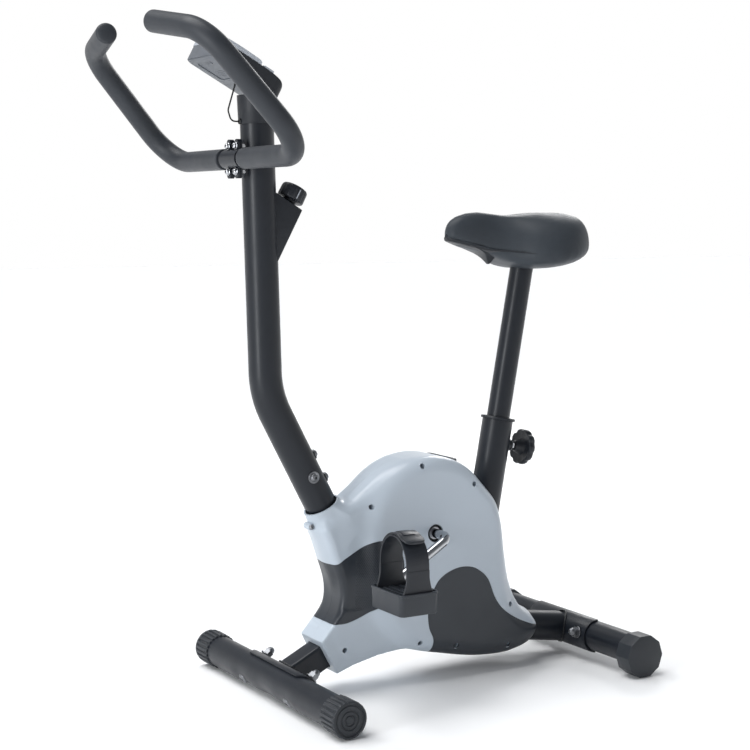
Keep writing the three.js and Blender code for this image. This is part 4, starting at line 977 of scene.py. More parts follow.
# ------------------------------------------------------------------ seat post and knob
def seat_post_parts():
    flange = [(19.4, -30), (23, -30), (23, 0.3), (28, 0.3), (28.8, 1.1), (28.8, 3.4), (27.8, 4.6),
              (21.2, 5.2), (19.6, 4.4), (19.4, -30)]
    piece(turned("seat_tube_collar", flange, SEAT_TUBE_TOP, SEAT_AXIS, 80), BLACK_PLASTIC, "frame",
          "black_plastic",
          "seat_tube_bush", sharp=32)
    bottom = SEAT_POST_TOP - SEAT_AXIS * 445
    post = tube("seat_post_pipe", [(bottom, SEAT_AXIS), (SEAT_POST_TOP, SEAT_AXIS)], 19.05, inner=17.2,
                sides=72)
    holes = []
    for i in range(6):
        shift = SEAT_AXIS * (-60 + 30 * i)
        holes.append(rod("hole", knob_at(8) + shift, knob_at(30) + shift, 5, 24))
    piece(cut(post, *holes), BLACK_PAINT, "seat", "black_paint", "seat_post", sharp=32)


def seat_knob():
    lobes, per, near, thick = 10, 10, 53, 15
    u, v = X_AXIS, KNOB_AXIS.cross(X_AXIS)
    rings = []
    for height, radius, depth in ((-13, 0.01, 0), (-13, 8.5, 0), (-3, 11.5, 0), (1.5, 14, 0),
                                  (1.5, 24, 0.6), (0.2, 26.5, 1.4), (0, 28, 2.2), (0.8, 29.4, 2.6),
                                  (3, 30, 2.6), (8, 29.8, 2.4), (11.5, 28, 1.8), (13.6, 25, 1.0),
                                  (14.7, 20, 0.3), (15, 12, 0), (15, 0.01, 0)):
        ring = []
        for k in range(lobes * per):
            t = 2 * math.pi * k / (lobes * per)
            r = radius - depth * max(0, -math.cos(lobes * t)) ** 0.8 if depth else radius
            ring.append(knob_at(near + height) + (u * math.cos(t) + v * math.sin(t)) * r)
        rings.append(ring)
    knob = skin("seat_adjust_knob", rings, merge=True)
    piece(knob, BLACK_PLASTIC, "seat_pin", "black_plastic", "seat_knob", sharp=45)
    pin = turned("seat_pin_stem", [(0, 19.5), (4.2, 19.5), (4.2, 41), (0, 41)], SEAT_KNOB_AT, KNOB_AXIS, 32)
    piece(pin, CHROME, "seat_pin", "black_plastic", sharp=32)
    nut = cut(hex_prism("seat_pin_nut", knob_at(33.4), KNOB_AXIS, 7.6, 4),
              rod("bore", knob_at(30), knob_at(42), 5, 24))
    piece(nut, CHROME, "frame", "chrome", sharp=30)


seat_post_parts()
seat_knob()

# ------------------------------------------------------------------ saddle
# Each row: distance from the front foot axis, half width, top height and lower edge height.
SADDLE_ROWS = np.array([
    (309, 1, 722, 715), (311, 10, 731, 711.5), (316, 17.5, 740, 709.5), (328, 24.5, 748.4, 706),
    (348, 30, 753.4, 700), (376, 34, 753.4, 693), (398, 41, 750.5, 686), (422, 60, 748, 677),
    (448, 86, 749, 671), (474, 98.5, 752, 671), (500, 98.5, 754, 675), (528, 89, 755, 681),
    (556, 70, 752, 688), (574, 48, 743, 692), (583, 28, 732, 696), (588, 6, 717, 701),
])
BELLY_PLACES = (400, 448, 474, 500, 528, 556, 580)
BELLY_DEPTHS = (3, 7, 11, 14, 16, 15, 5)


def saddle_stations(count):
    """Saddle rows on smooth curves, closer together at both ends."""
    curve = catmull([tuple(r) for r in SADDLE_ROWS], 8, closed=False)
    wanted = 0.5 - 0.5 * np.cos(np.linspace(0, math.pi, count))
    curve = np.array(curve)
    place = np.linspace(0, 1, len(curve))
    return [[np.interp(w, place, curve[:, k]) for k in range(4)] for w in wanted]


def saddle_form(name, shrink=0.0, sides=56):
    """The saddle's cushion. Shrink pulls every surface in by that many millimetres."""
    rings = []
    for y, half, top, edge in saddle_stations(72):
        half, top, low = max(half - shrink, 0.3), top - shrink, edge + shrink * 0.3
        y = y + shrink * (450 - y) / 140
        groove = 3.5 * math.exp(-((y - 505) / 42) ** 2)
        belly = float(np.interp(y, BELLY_PLACES, BELLY_DEPTHS)) * min(1, half / 12)
        ring = []
        for k in range(sides):
            t = 2 * math.pi * (k + 0.5) / sides
            c, s = math.cos(t), math.sin(t)
            if s >= 0:
                x = half * math.copysign(abs(c) ** 0.8, c)
                z = low + (top - low) * s**0.84
            else:
                tuck = 0.95
                x = half * tuck * math.copysign(abs(c) ** 0.7, c) + half * (1 - tuck) * c * max(0, 1 + 4 * s)
                z = low - belly * abs(s) ** 0.9
            valley = groove * math.exp(-(x / 15) ** 2) * max(0.0, s) ** 2
            ring.append(at(x, y, z - valley))
        rings.append(ring)
    return skin(name, rings, merge=True)


def pumped(obj, pressure, cap, voxel):
    """Remeshes a cushion and lets the cloth solver swell it, no point by more than cap millimetres."""
    modifier = obj.modifiers.new("remesh", "REMESH")
    modifier.mode, modifier.voxel_size = "VOXEL", voxel * MM
    bake(obj)
    modifier = obj.modifiers.new("smooth", "SMOOTH")
    modifier.factor, modifier.iterations = 0.5, 6
    bake(obj)
    start = np.array([v.co for v in obj.data.vertices])
    cloth = obj.modifiers.new("cloth", "CLOTH")
    cloth.settings.use_pressure = True
    cloth.settings.uniform_pressure_force = pressure
    cloth.settings.tension_stiffness = 40
    cloth.settings.compression_stiffness = 40
    cloth.settings.bending_stiffness = 8
    cloth.settings.effector_weights.gravity = 0
    cloth.collision_settings.use_collision = False
    scene = bpy.context.scene
    for number in range(1, 21):
        scene.frame_set(number)
    bake(obj)
    scene.frame_set(1)
    moved = np.array([v.co for v in obj.data.vertices])
    step = moved - start
    length = np.linalg.norm(step, axis=1, keepdims=True)
    moved = start + step * np.minimum(1, cap * MM / np.maximum(length, 1e-9))
    obj.data.vertices.foreach_set("co", moved.astype(np.float32).ravel())
    return obj


def pan_lift(y):
    """The pan shows below the cushion at the nose, and lies inside it further back."""
    return float(np.interp(y, (380, 426), (2, 15)))


def saddle_edge_line(inset, drop):
    """Points along the saddle's lower edge, all the way round."""
    right, left = [], []
    for y, half, _, edge in saddle_stations(110):
        edge += pan_lift(y)
        x = max(half - inset - pan_lift(y) * 0.8, 0.2)
        y = 450 + (y - 450) * 0.955
        right.append(at(x, y, edge - drop))
        left.append(at(-x, y, edge - drop))
    return right + left[::-1]


def saddle():
    cover = pumped(saddle_form("saddle_cushion", shrink=3.2), 4, 3.4, 5)
    modifier = cover.modifiers.new("smooth", "SMOOTH")
    modifier.factor, modifier.iterations = 0.5, 4
    bake(cover)
    modifier = cover.modifiers.new("subdivision", "SUBSURF")
    modifier.levels = modifier.render_levels = 1
    bake(cover)
    piece(cover, VINYL, "seat", "vinyl", "saddle_cover", sharp=180)

    line = resampled(saddle_edge_line(5.5, 1.2), 3)
    total = len(line)
    rings = []
    for i, place in enumerate(line):
        along = (line[(i + 1) % total] - line[i - 1]).normalized()
        u = at(0, 0, 1).cross(along).normalized()
        rings.append(circle(place, u, along.cross(u), 1.9, 12))
    piece(skin("saddle_edge_piping", rings, closed=True), VINYL, "seat", "vinyl", sharp=60)

    rings = []
    for y, half, _, edge in saddle_stations(60):
        half = max(half - 5.5, 0.3)
        edge += pan_lift(y)
        dip = 5.5 if half > 6 else 2
        ring = []
        for k in range(32):
            t = 2 * math.pi * (k + 0.5) / 32
            c, s = math.cos(t), math.sin(t)
            x = half * math.copysign(abs(c) ** 0.45, c)
            z = edge - 1.2 + (1.2 if s > 0 else dip) * s * 0.95
            ring.append(at(x, 450 + (y - 450) * 0.975, z))
        rings.append(ring)
    pan = skin("saddle_pan", rings, merge=True)
    fin = [(700, 346, 430, 25), (692, 366, 430, 23), (686, 379, 426, 18), (682, 384, 413, 13),
           (677, 389, 404, 8.5), (672, 393, 401, 5.5), (668, 395.5, 398.5, 3)]
    nib = skin("nib", [[at(-half, y0, z), at(half, y0, z), at(half, y1, z), at(-half, y1, z)]
                       for z, y0, y1, half in fin])
    nib = bevel(nib, 1.2, 2, 40)
    socket = turned("socket", [(0, -38), (16.9, -38), (16.9, 0.3), (21, 0.3), (21, 8), (0, 8)], SEAT_POST_TOP,
                    SEAT_AXIS, 48)
    piece(merged("saddle_pan", [pan, nib, socket]), BLACK_PLASTIC, "seat", "black_plastic", "saddle_base",
          sharp=40)


saddle()


# ------------------------------------------------------------------ crank and pedals
def eye(side):
    return at(side * EYE_X, CRANK.y + side * CRANK_ARM.y, CRANK.z + side * CRANK_ARM.z)


def crankset():
    inner = at(CRANK_BEND_X, CRANK.y, CRANK.z)
    stations = bent([eye(1), inner, mirrored(inner), eye(-1)], 17, 14)
    parts = [tube("crank_bar", stations, CRANK_BAR_R, sides=40)]
    for side in (1, -1):
        place = eye(side)
        out = at(side, 0, 0)
        boss = [(0, -10), (9.4, -10), (11, -8.6), (11, 7), (10, 8), (0, 8)]
        parts.append(turned("eye", boss, place, out, 48))
        parts.append(turned("flats", [(0, 8.2), (8, 8.2), (8, 12), (0, 12)], place, out, 6))
        parts.append(turned("spindle", [(0, 8), (6.5, 8), (6.5, 80), (5.6, 88), (0, 88)], place, out, 32))
    piece(merged("crank_and_spindles", parts), CHROME, "crankset", "chrome", "crank", sharp=32)
    for hand, side in (("left", 1), ("right", -1)):
        cup = turned(f"crank_dust_cup_{hand}", [(CRANK_BAR_R + 0.25, 49), (10.4, 49), (10.4, 51.5),
                                                (9.8, 52.6), (CRANK_BAR_R + 0.25, 52.6),
                                                (CRANK_BAR_R + 0.25, 49)],
                     CRANK, at(side, 0, 0), 48)
        piece(cup, STEEL, "crankset", "steel", sharp=32)
        liner = turned(f"crank_hole_liner_{hand}", [(11.4, 44), (CRANK_HOLE_R + 2.2, 44),
                                                    (CRANK_HOLE_R + 2.2, 51.8),
                                                    (CRANK_HOLE_R - 0.5, 51.8), (12.6, 46), (11.4, 46),
                                                    (11.4, 44)],
                       CRANK, at(side, 0, 0), 64)
        piece(liner, STEEL, "frame", "steel", sharp=32)


crankset()


def ribbon(name, line, widths, thick, place):
    """A flat band whose middle follows a line of (x, z) points, lying across Y."""
    rings = []
    count = len(line)
    for i, (x, z) in enumerate(line):
        ahead, behind = line[min(i + 1, count - 1)], line[max(i - 1, 0)]
        along = Vector((ahead[0] - behind[0], 0, ahead[1] - behind[1])).normalized()
        out = along.cross(at(0, 1, 0))
        half = widths[i] / 2
        section = rounded_rectangle(2 * half, thick, min(thick * 0.42, half * 0.9), 3)
        rings.append([place @ (at(x, 0, z) + at(0, 1, 0) * a + out * b) for a, b in section])
    return skin(name, rings)


STRAP_IN, STRAP_OUT, STRAP_HIGH, STRAP_SPRING = 121, 197, 96, 52


def pedal(hand, side):
    """Drawn with its strap upwards on the rider's left; the other one is turned over."""
    place = Matrix.Translation(at(0, eye(side).y, eye(side).z))
    if side < 0:
        place = place @ Matrix.Rotation(math.pi, 4, "Y")

    def local(points, z0, z1, taper=0.0, name="part"):
        lower = [place @ at(PEDAL_X + (x - PEDAL_X) * (1 - taper / 45), y * (1 - taper / 31), z0)
                 for x, y in points]
        return skin(name, [lower, [place @ at(x, y, z1) for x, y in points]])

    plan = rounded_rectangle(PEDAL_W, PEDAL_L, 8.5, 10, (PEDAL_X, 0))
    shell = bevel(local(plan, PEDAL_LOW, PEDAL_TOP, taper=0.8, name=f"pedal_tray_{hand}"), 1.6, 3, 50)
    hollow = local(rounded_rectangle(PEDAL_W - 7, PEDAL_L - 7, 4.5, 6, (PEDAL_X, 0)), PEDAL_TOP - 4.5,
                   PEDAL_TOP + 3)
    under = local(rounded_rectangle(PEDAL_W - 12, PEDAL_L - 12, 4, 6, (PEDAL_X, 0)), PEDAL_LOW - 3,
                  PEDAL_LOW + 4)
    shell = cut(shell, hollow, under)
    for x in (STRAP_IN, STRAP_OUT):
        shell = cut(shell, local(rounded_rectangle(4.6, 56, 2, 4, (x, 0)), 2, 20))
    shell = cut(shell, local(rounded_rectangle(7, PEDAL_L - 24, 2, 4, (PEDAL_X + 26, 0)), -20, 20,
                             name="gap"),
                local(rounded_rectangle(7, PEDAL_L - 24, 2, 4, (PEDAL_X - 26, 0)), -20, 20, name="gap"))
    bore = rod("bore", place @ at(100, 0, 0), place @ at(PEDAL_X + 36, 0, 0), 6.8, 32)
    shell = cut(shell, bore)
    lip_outer = rounded_rectangle(PEDAL_W + 1.6, PEDAL_L + 1.6, 9.2, 10, (PEDAL_X, 0))
    lip = local(lip_outer, PEDAL_TOP - 3.2, PEDAL_TOP + 0.4)
    lip = cut(lip, local(rounded_rectangle(PEDAL_W - 6.6, PEDAL_L - 6.6, 4.7, 6, (PEDAL_X, 0)), PEDAL_TOP - 8,
                         PEDAL_TOP + 4))
    shell = join(shell, bevel(lip, 0.8, 2, 50))
    treads = []
    for y in (-19, -9.5, 9.5, 19):
        treads.append(bevel(local(rounded_rectangle(56, 3.2, 1.2, 4, (PEDAL_X, y)), PEDAL_TOP - 5,
                                  PEDAL_TOP - 1.2), 0.5, 2, 50))
    barrel = tube("barrel", [(place @ at(116, 0, 0), place.to_3x3() @ X_AXIS),
                             (place @ at(200, 0, 0), place.to_3x3() @ X_AXIS)],
                  11, inner=6.8, sides=40)
    tray = merged(f"pedal_tray_{hand}", [shell, *treads, barrel])
    piece(tray, DARK_PLASTIC, f"pedal_{hand}", "dark_plastic", f"pedal_body_{hand}", sharp=32)
    middle, radius = (STRAP_IN + STRAP_OUT) / 2, (STRAP_OUT - STRAP_IN) / 2
    arc = [(middle + radius * math.cos(t), STRAP_SPRING + (STRAP_HIGH - STRAP_SPRING) * math.sin(t))
           for t in np.linspace(0, math.pi, 40)]
    rise = np.linspace(9, STRAP_SPRING, 16, endpoint=False)
    line = [(STRAP_OUT + 0.6 * math.sin((z - 9) / 41 * math.pi), z) for z in rise] + arc
    line += [(STRAP_IN - 0.6 * math.sin((z - 9) / 41 * math.pi), z) for z in rise[::-1]]
    widths = []
    for x, z in line:
        flare = max(0.0, 1 - max(z - 10, 0) / 26)
        widths.append(40 + 14 * flare**1.6)
    band = ribbon("band", line, widths, 2.6, place)
    lower = [k for k, (x, z) in enumerate(line) if z < 47]
    halves = [[k for k in lower if k < len(line) / 2], [k for k in lower if k > len(line) / 2]]
    feet = [ribbon("foot", [line[k] for k in run], [widths[k] + 0.6 for k in run], 4.2, place)
            for run in halves]
    over = [(middle + (radius + 3.2) * math.cos(t),
             STRAP_SPRING + (STRAP_HIGH - STRAP_SPRING + 3.4) * math.sin(t))
            for t in np.linspace(math.radians(148), math.radians(64), 30)]
    tail_x, tail_z = over[-1]
    over += [(tail_x + 0.93 * d, tail_z - 0.36 * d) for d in (4, 8, 12, 15, 17.4, 18.6)]
    tongue_w = [38] * (len(over) - 5) + [37, 35, 31, 24, 12]
    tongue = ribbon("tongue", over, tongue_w, 2.4, place)
    patch_line = [(middle + (radius + 4.8) * math.cos(t),
                   STRAP_SPRING + (STRAP_HIGH - STRAP_SPRING + 5.0) * math.sin(t))
                  for t in np.linspace(math.radians(102), math.radians(70), 10)]
    patch = ribbon("patch", patch_line, [20] * 10, 0.8, place)
    strap = merged(f"pedal_strap_band_{hand}", [band, tongue, patch, *feet])
    piece(strap, STRAP_LOOK, f"pedal_{hand}", "black_plastic", f"pedal_strap_{hand}", sharp=40)


pedal("left", 1)
pedal("right", -1)


# ------------------------------------------------------------------ shroud as a distance field
def distance_to_outline(outline, ys, zs):
    """Signed distance, negative inside, from grid points to a closed outline in Y and Z."""
    points = np.stack(np.meshgrid(ys, zs, indexing="ij"), axis=-1)
    corners = np.array(outline, float)
    best = np.full(points.shape[:2], 1e9)
    inside = np.zeros(points.shape[:2], bool)
    for a, b in zip(corners, np.roll(corners, -1, axis=0)):
        edge, to_point = b - a, points - a
        share = np.clip((to_point @ edge) / (edge @ edge), 0, 1)
        best = np.minimum(best, np.linalg.norm(to_point - share[..., None] * edge, axis=-1))
        crosses = (a[1] > points[..., 1]) != (b[1] > points[..., 1])
        with np.errstate(divide="ignore", invalid="ignore"):
            where = a[0] + (points[..., 1] - a[1]) / (b[1] - a[1]) * (b[0] - a[0])
        inside ^= crosses & (points[..., 0] < where)
    return np.where(inside, -best, best)


def rounded_slab(flat, xs, half, radius):
    """The field of an outline extruded to +-half, with its edges rounded."""
    q1 = flat[None, :, :] + radius
    q2 = (np.abs(xs) - (half - radius))[:, None, None]
    outside = np.sqrt(np.maximum(q1, 0) ** 2 + np.maximum(q2, 0) ** 2)
    return outside + np.minimum(np.maximum(q1, q2), 0) - radius


def blended(a, b, width):
    """A union whose inner corner is filled by a soft radius."""
    h = np.clip(0.5 + 0.5 * (b - a) / width, 0, 1)
    return b * (1 - h) + a * h - width * h * (1 - h)


def surface_net(field, level, origin, step):
    """Points and quads of the surface where a field crosses a level."""
    field = field - level
    inside = field < 0
    shape = np.array(field.shape) - 1
    offsets = [(i, j, k) for i in (0, 1) for j in (0, 1) for k in (0, 1)]

    def corner(values, offset):
        i, j, k = offset
        return values[i:i + shape[0], j:j + shape[1], k:k + shape[2]]

    total = sum(corner(inside, o).astype(np.int8) for o in offsets)
    active = (total > 0) & (total < 8)
    number = np.full(shape, -1)
    number[active] = np.arange(active.sum())
    place = np.zeros((active.sum(), 3))
    count = np.zeros(active.sum())
    values = {o: corner(field, o)[active] for o in offsets}
    for a in offsets:
        for axis in range(3):
            if a[axis]:
                continue
            b = tuple(1 if n == axis else v for n, v in enumerate(a))
            fa, fb = values[a], values[b]
            crosses = (fa < 0) != (fb < 0)
            share = np.where(crosses, fa / np.where(crosses, fa - fb, 1), 0)
            for n in range(3):
                place[:, n] += np.where(crosses, a[n] + (share if n == axis else 0), 0)
            count += crosses
    cells = np.argwhere(active)
    points = origin + (cells + place / count[:, None]) * step
    quads = []
    for axis in range(3):
        u, v = [n for n in range(3) if n != axis]
        low = [slice(1, s) for s in shape]
        low[axis] = slice(0, shape[axis])
        high = list(low)
        high[axis] = slice(1, shape[axis] + 1)
        starts, ends = inside[tuple(low)], inside[tuple(high)]
        where = np.argwhere(starts != ends)
        where[:, u] += 1
        where[:, v] += 1
        ring = []
        for du, dv in ((1, 1), (0, 1), (0, 0), (1, 0)):
            cell = where.copy()
            cell[:, u] -= du
            cell[:, v] -= dv
            ring.append(number[cell[:, 0], cell[:, 1], cell[:, 2]])
        quads.append(np.stack(ring, axis=1))
    return points, np.concatenate(quads)


def disc_outline():
    """The round body, its tail and its belly."""
    disc = []
    for k in range(25):
        t = math.radians(176 - 138 * k / 24)
        disc.append((CRANK.y + 122 * math.cos(t), CRANK.z + 122 * math.sin(t)))
    rest = catmull([disc[-1], (385, 286), (395, 260), (400, 225), (402, 190), (405, 152), (411, 126),
                    (420, 104), (440, 86), (464, 76), (472, 62), (460, 45), (430, 34), (400, 29),
                    (345, 32), (290, 43), (240, 55), (196, 78), (160, 122), (143, 172),
                    disc[0]], 6, closed=False)
    return disc + rest[1:-1]


COLUMN = [(72, 264), (80, 238), (90, 208), (99, 180), (102.5, 155), (99, 134), (90, 114), (80, 100),
          (100, 60), (130, 52), (170, 56), (216, 60), (262, 52), (315, 40), (370, 31), (425, 30),
          (455, 40), (460, 62), (440, 100), (420, 140), (400, 200), (370, 262), (261, 262), (190, 262),
          (150, 264), (120, 272), (94, 274)]
WEB = [(92, 296), (112, 300), (126, 305), (143, 317), (152, 323.5), (166, 334), (180, 342.5), (198, 350),
       (220, 355), (240, 352), (230, 240), (110, 236)]
NOSE = [(64, 87), (92, 33), (122, 43), (166, 52.5), (216, 57.5), (216, 130), (104, 132), (96, 122)]


# The grid's range along X, Y and Z clears the shroud all round, so that its surface closes.
SHROUD_GRID = ((-68, 68), (44, 506), (8, 396))
SHROUD_STEP = 2.0


def shroud_field(step):
    xs, ys, zs = (np.arange(low, high + step, step) for low, high in SHROUD_GRID)
    body = rounded_slab(distance_to_outline(disc_outline(), ys, zs), xs, BODY_HALF, 24)
    column = rounded_slab(distance_to_outline(catmull(COLUMN, 5), ys, zs), xs, NECK_HALF, 11)
    web = rounded_slab(distance_to_outline(WEB, ys, zs), xs, 40, 20)
    nose = rounded_slab(distance_to_outline(NOSE, ys, zs), xs, NECK_HALF, 3)
    grid = np.stack(np.meshgrid(xs, ys, zs, indexing="ij"), axis=-1)

    def round_bar(start, axis, radius_at, low, high):
        offset = grid - np.array(start)
        along = offset @ np.array(axis)
        away = np.linalg.norm(offset - along[..., None] * np.array(axis), axis=-1)
        return np.maximum(away - radius_at(along), np.maximum(low - along, along - high))

    neck = round_bar(POST_END, STUB_AXIS,
                     lambda s: np.interp(s, [0, 8, 40, 100, 150], [29, 29.5, 31, 36, 38]), -20, 150)
    tail = round_bar(tube_at(400), TUBE_AXIS,
                     lambda s: np.interp(s, [0, 30, 56, 74], [36, 36, 34.5, 29]), 0, 120)
    field = blended(blended(body, column, 26), web, 18)
    field = blended(field, neck, 14)
    field = blended(field, tail, 14)
    field = blended(field, nose, 5)
    return field, np.array([xs[0], ys[0], zs[0]])


FRONT_PANEL = [(40, 204), (86, 204), (105, 214.5), (121, 224), (142, 236), (158, 240.5), (176, 238),
               (192, 228), (201, 208), (202, 182), (194, 158), (178, 141), (160, 132), (135, 120),
               (111, 113), (92, 112), (40, 112)]
REAR_PANEL = [(262, 0), (258.5, 40), (257.5, 70), (249.5, 90), (247, 113), (250, 136), (259, 154),
              (270, 168), (289, 178.5), (311, 183), (333, 180), (350, 170.5), (361.5, 159), (368, 146.5),
              (374.5, 130), (383, 115.5), (394, 103), (408, 92.5), (424, 83), (440, 75.5), (456, 69.5),
              (478, 63.5), (520, 56), (530, 0)]


def region(name, points, grow):
    """A panel's outline as a block across the shroud, grown or shrunk."""
    curve = np.array(catmull(points, 6, closed=False))
    around = np.roll(curve, -1, axis=0) - np.roll(curve, 1, axis=0)
    around[0], around[-1] = curve[1] - curve[0], curve[-1] - curve[-2]
    normal = np.stack([around[:, 1], -around[:, 0]], axis=1)
    normal /= np.maximum(np.linalg.norm(normal, axis=1, keepdims=True), 1e-9)
    area = np.sum(curve[:, 0] * np.roll(curve[:, 1], -1) - np.roll(curve[:, 0], -1) * curve[:, 1])
    grown = curve + normal * grow * (1 if area > 0 else -1)
    return slab(name, [tuple(p) for p in grown], -80, 80)


def screw_spots():
    return [(149, 294), (239, 352), (336, 316), (412.3, 108), (104.5, 69.5), (235, 66.5), (303, 54),
            (405, 41.5)]


def shroud():
    field, origin = shroud_field(SHROUD_STEP)
    outer = new_object("outer", *surface_net(field, 0, origin, SHROUD_STEP))
    inner = new_object("inner", *surface_net(field, -SHELL_WALL, origin, SHROUD_STEP))
    surface = BVHTree.FromPolygons([v.co[:] for v in outer.data.vertices],
                                   [p.vertices[:] for p in outer.data.polygons])
    shell = cut(outer, inner)

    collar = rod("collar", POST_END + STUB_AXIS * 6.5, POST_END - STUB_AXIS * 60, 60, 48)
    bore = rod("bore", POST_END - STUB_AXIS * 30, POST_END + STUB_AXIS * 120, 23.8, 64)
    tube_way = rod("tube_way", tube_at(300), tube_at(530), TUBE_R + 0.6, 64)
    tail_end = slab("tail_end", [(472, 110), (472, 60), (467, 34), (463, 0), (560, 0), (560, 110)], -80, 80)
    seat_way = rod("seat_way", seat_down(330), seat_down(-20), 26.2, 64)
    crank_way = rod("crank_way", at(-80, CRANK.y, CRANK.z), at(80, CRANK.y, CRANK.z), CRANK_HOLE_R, 64)
    rail_way = rail("rail_way", 0.7, -62, 60, corner=4)
    shell = cut(shell, collar, bore, tube_way, tail_end, seat_way, crank_way, rail_way)

    bosses = []
    for hand, side in (("left", 1), ("right", -1)):
        heads = []
        for y, z in screw_spots():
            start = row(at(side * 90, y, z))
            hit = surface.ray_cast(start, Vector((-side, 0, 0)))[0]
            if hit is None:
                continue
            face_x = hit.x / MM
            low = face_x - side * 14
            shell = cut(shell, rod("drill", at(face_x + side * 12, y, z), at(low, y, z), 4.3, 28))
            spot, inward = at(face_x - side * 2.2, y, z), at(-side, 0, 0)
            well = [(4.4, 0), (5.4, 0), (5.4, 9.5), (0, 9.5), (0, 8.4), (4.4, 8.4), (4.4, 0)]
            bosses.append((side, turned("well", well, spot, inward, 28)))
            head = button_head("head", spot + inward * 8.3, -inward, 3.6, 2.4)
            heads.append(head)
        piece(merged(f"shroud_screws_{hand}", heads), STEEL, "frame", "steel", sharp=30)

    seam, middle_gap = 0.25, 0.1
    light = shell
    parts = {}
    for name, outline in (("front", FRONT_PANEL), ("rear", REAR_PANEL)):
        copy = bpy.data.objects.new(name, light.data.copy())
        bpy.context.scene.collection.objects.link(copy)
        parts[name] = boolean(copy, "INTERSECT", region("region", outline, -seam))
        light = cut(light, region("region", outline, seam))
    for hand, side in (("left", 1), ("right", -1)):
        away = ((-120, -20, -20), (middle_gap, 600, 420)) if side > 0 else ((-middle_gap, -20, -20),
                                                                            (120, 600, 420))
        for name, source, look, slot in (("shroud", light, SHROUD_WHITE, "white_plastic"),
                                         ("front_panel", parts["front"], PANEL_PLASTIC, "dark_plastic")):
            copy = bpy.data.objects.new(f"{name}_moulding_{hand}", source.data.copy())
            bpy.context.scene.collection.objects.link(copy)
            cut(copy, box("half", *away))
            if name == "shroud":
                own = [w for s, w in bosses if s == side]
                copy = merged(copy.name, [copy, *own])
                copy.name = f"{name}_moulding_{hand}"
            piece(copy, look, "frame", slot, f"{name}_{hand}", sharp=30)
    bpy.data.objects.remove(light)
    bpy.data.objects.remove(parts["front"])
    parts["rear"].name = "rear_panel_moulding"
    piece(parts["rear"], PANEL_PLASTIC, "frame", "dark_plastic", "rear_panel", sharp=30)
    return surface


shroud_surface = shroud()


def panel_studs():
    """Rows of fine raised studs on the rear part of each front panel."""
    pitch, radius, height = 2.9, 1.0, 0.65
    for hand, side in (("left", 1), ("right", -1)):
        points, faces = [], []
        for i, z in enumerate(np.arange(130, 236, pitch * 0.866)):
            for y in np.arange(124 + (i % 2) * pitch / 2, 199, pitch):
                top = np.interp(y, [121, 142, 158, 176, 192, 199], [221, 233, 237, 235, 225, 212])
                bottom = np.interp(y, [121, 135, 160, 178, 194, 199], [119, 123, 135, 145, 161, 175])
                if not bottom < z < top:
                    continue
                hit, normal, _, _ = shroud_surface.ray_cast(row(at(side * 90, y, z)), Vector((-side, 0, 0)))
                if hit is None:
                    continue
                middle = at(hit.x / MM, y, z)
                u, v = across(normal)
                first = len(points)
                points += circle(middle - normal * 0.1, u, v, radius, 8)
                points += circle(middle + normal * height * 0.8, u, v, radius * 0.6, 8)
                points.append(middle + normal * height)
                for k in range(8):
                    n = (k + 1) % 8
                    faces.append((first + k, first + n, first + 8 + n, first + 8 + k))
                    faces.append((first + 8 + k, first + 8 + n, first + 16))
        piece(new_object(f"front_panel_studs_{hand}", points, faces), PANEL_PLASTIC, "frame", "dark_plastic",
              sharp=60)


panel_studs()


def neck_lug():
    """The lugs in front of the neck that a screw across the bike draws together."""
    middle = stub_at(281) - REAR_OF_STUB * 33.5
    halves = []
    for side in (1, -1):
        ear = turned("ear", [(2.2, 0.3), (5.4, 0.3), (5.4, 8), (4.8, 8.8), (2.2, 8.8), (2.2, 0.3)], middle,
                     at(side, 0, 0), 32)
        foot = box("foot", (min(side * 0.3, side * 8), middle.y - 1, middle.z - 4.6),
                   (max(side * 0.3, side * 8), middle.y + 8, middle.z + 4.6))
        foot = cut(foot, rod("space", stub_at(300), stub_at(255), 29, 48))
        halves.append(merged("lug", [ear, foot]))
    for hand, lug in zip(("left", "right"), halves):
        lug.name = f"neck_lug_{hand}"
        piece(lug, SHROUD_WHITE, "frame", "white_plastic", sharp=32)
    screw = merged("neck_screw", [
        button_head("head", middle + X_AXIS * 8.9, X_AXIS, 4.2, 3),
        rod("shank", middle - X_AXIS * 8.6, middle + X_AXIS * 9.2, 2, 16),
    ])
    piece(screw, STEEL, "frame", "chrome", sharp=30)


neck_lug()

# ------------------------------------------------------------------ CAD nodes that keep their shape
KEPT_LOOKS = {
    "bottom_bracket": BLACK_PAINT, "crank_bearing_left": STEEL, "crank_bearing_right": STEEL,
              "drive_pulley": BLACK_PLASTIC,
    "flywheel": IRON, "drive_belt": RUBBER, "brake_band": FELT, "speed_sensor": BLACK_PLASTIC,
              "tension_cable": SHEATH,
    "console_circuit_board": BOARD, "saddle_mount": BLACK_PAINT, "brake_spring": STEEL,
}
for name, look in KEPT_LOOKS.items():
    NODES[name].data.materials.clear()
    NODES[name].data.materials.append(look)


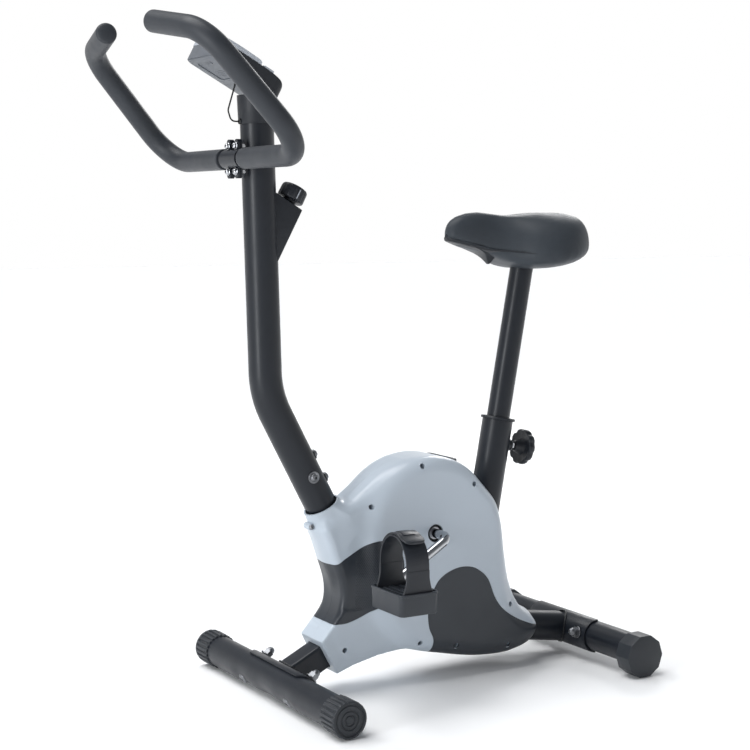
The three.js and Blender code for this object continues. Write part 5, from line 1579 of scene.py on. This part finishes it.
# ------------------------------------------------------------------ studio
def studio():
    bpy.ops.mesh.primitive_plane_add(size=1)
    floor = bpy.context.object
    floor.name = "studio_floor"
    floor.scale = (40, 40, 1)
    floor.location.z = -0.0015
    pale = principled("studio_floor", (0.965, 0.97, 0.975), 0.8)
    floor.data.materials.append(pale)

    world = bpy.data.worlds.new("studio")
    bpy.context.scene.world = world
    world.use_nodes = True
    nodes, links = world.node_tree.nodes, world.node_tree.links
    coords, split = nodes.new("ShaderNodeTexCoord"), nodes.new("ShaderNodeSeparateXYZ")
    ramp = nodes.new("ShaderNodeValToRGB")
    first, last = ramp.color_ramp.elements
    first.position, first.color = 0.2, (1, 1, 1, 1)
    last.position, last.color = 0.42, (0.30, 0.315, 0.34, 1)
    links.new(coords.outputs["Generated"], split.inputs["Vector"])
    links.new(split.outputs["Z"], ramp.inputs["Fac"])
    links.new(ramp.outputs["Color"], nodes["Background"].inputs["Color"])
    facing, side = nodes.new("ShaderNodeVectorMath"), nodes.new("ShaderNodeMapRange")
    facing.operation = "DOT_PRODUCT"
    facing.inputs[1].default_value = (-0.86, 0.51, 0)
    side.inputs["From Min"].default_value, side.inputs["From Max"].default_value = -0.2, 0.6
    side.inputs["To Min"].default_value, side.inputs["To Max"].default_value = 0.55, 1.0
    links.new(coords.outputs["Generated"], facing.inputs[0])
    links.new(facing.outputs["Value"], side.inputs["Value"])
    links.new(side.outputs["Result"], nodes["Background"].inputs["Strength"])

    target = Vector((0, 0, 0.45))
    lamps = [
        ("front_softbox", (0.85, -2.8, 0.95), (0.7, 2.0), 36, (0.95, 0.975, 1)),
        ("rim", (-2.2, 2.4, 2.2), (1.1, 1.1), 30, (1, 1, 1)),
    ]
    data = bpy.data.lights.new("overhead", "SUN")
    data.energy, data.angle = 2.75, math.radians(50)
    overhead = bpy.data.objects.new("overhead", data)
    overhead.rotation_euler = (math.radians(20), math.radians(-14), 0)
    bpy.context.scene.collection.objects.link(overhead)
    for name, place, size, power, color in lamps:
        data = bpy.data.lights.new(name, "AREA")
        data.shape, data.energy, data.color = "RECTANGLE", power, color
        data.size, data.size_y = size
        lamp = bpy.data.objects.new(name, data)
        lamp.location = place
        lamp.rotation_euler = (target - Vector(place)).to_track_quat("-Z", "Y").to_euler()
        bpy.context.scene.collection.objects.link(lamp)
    bpy.context.scene.view_settings.view_transform = "Standard"


studio()
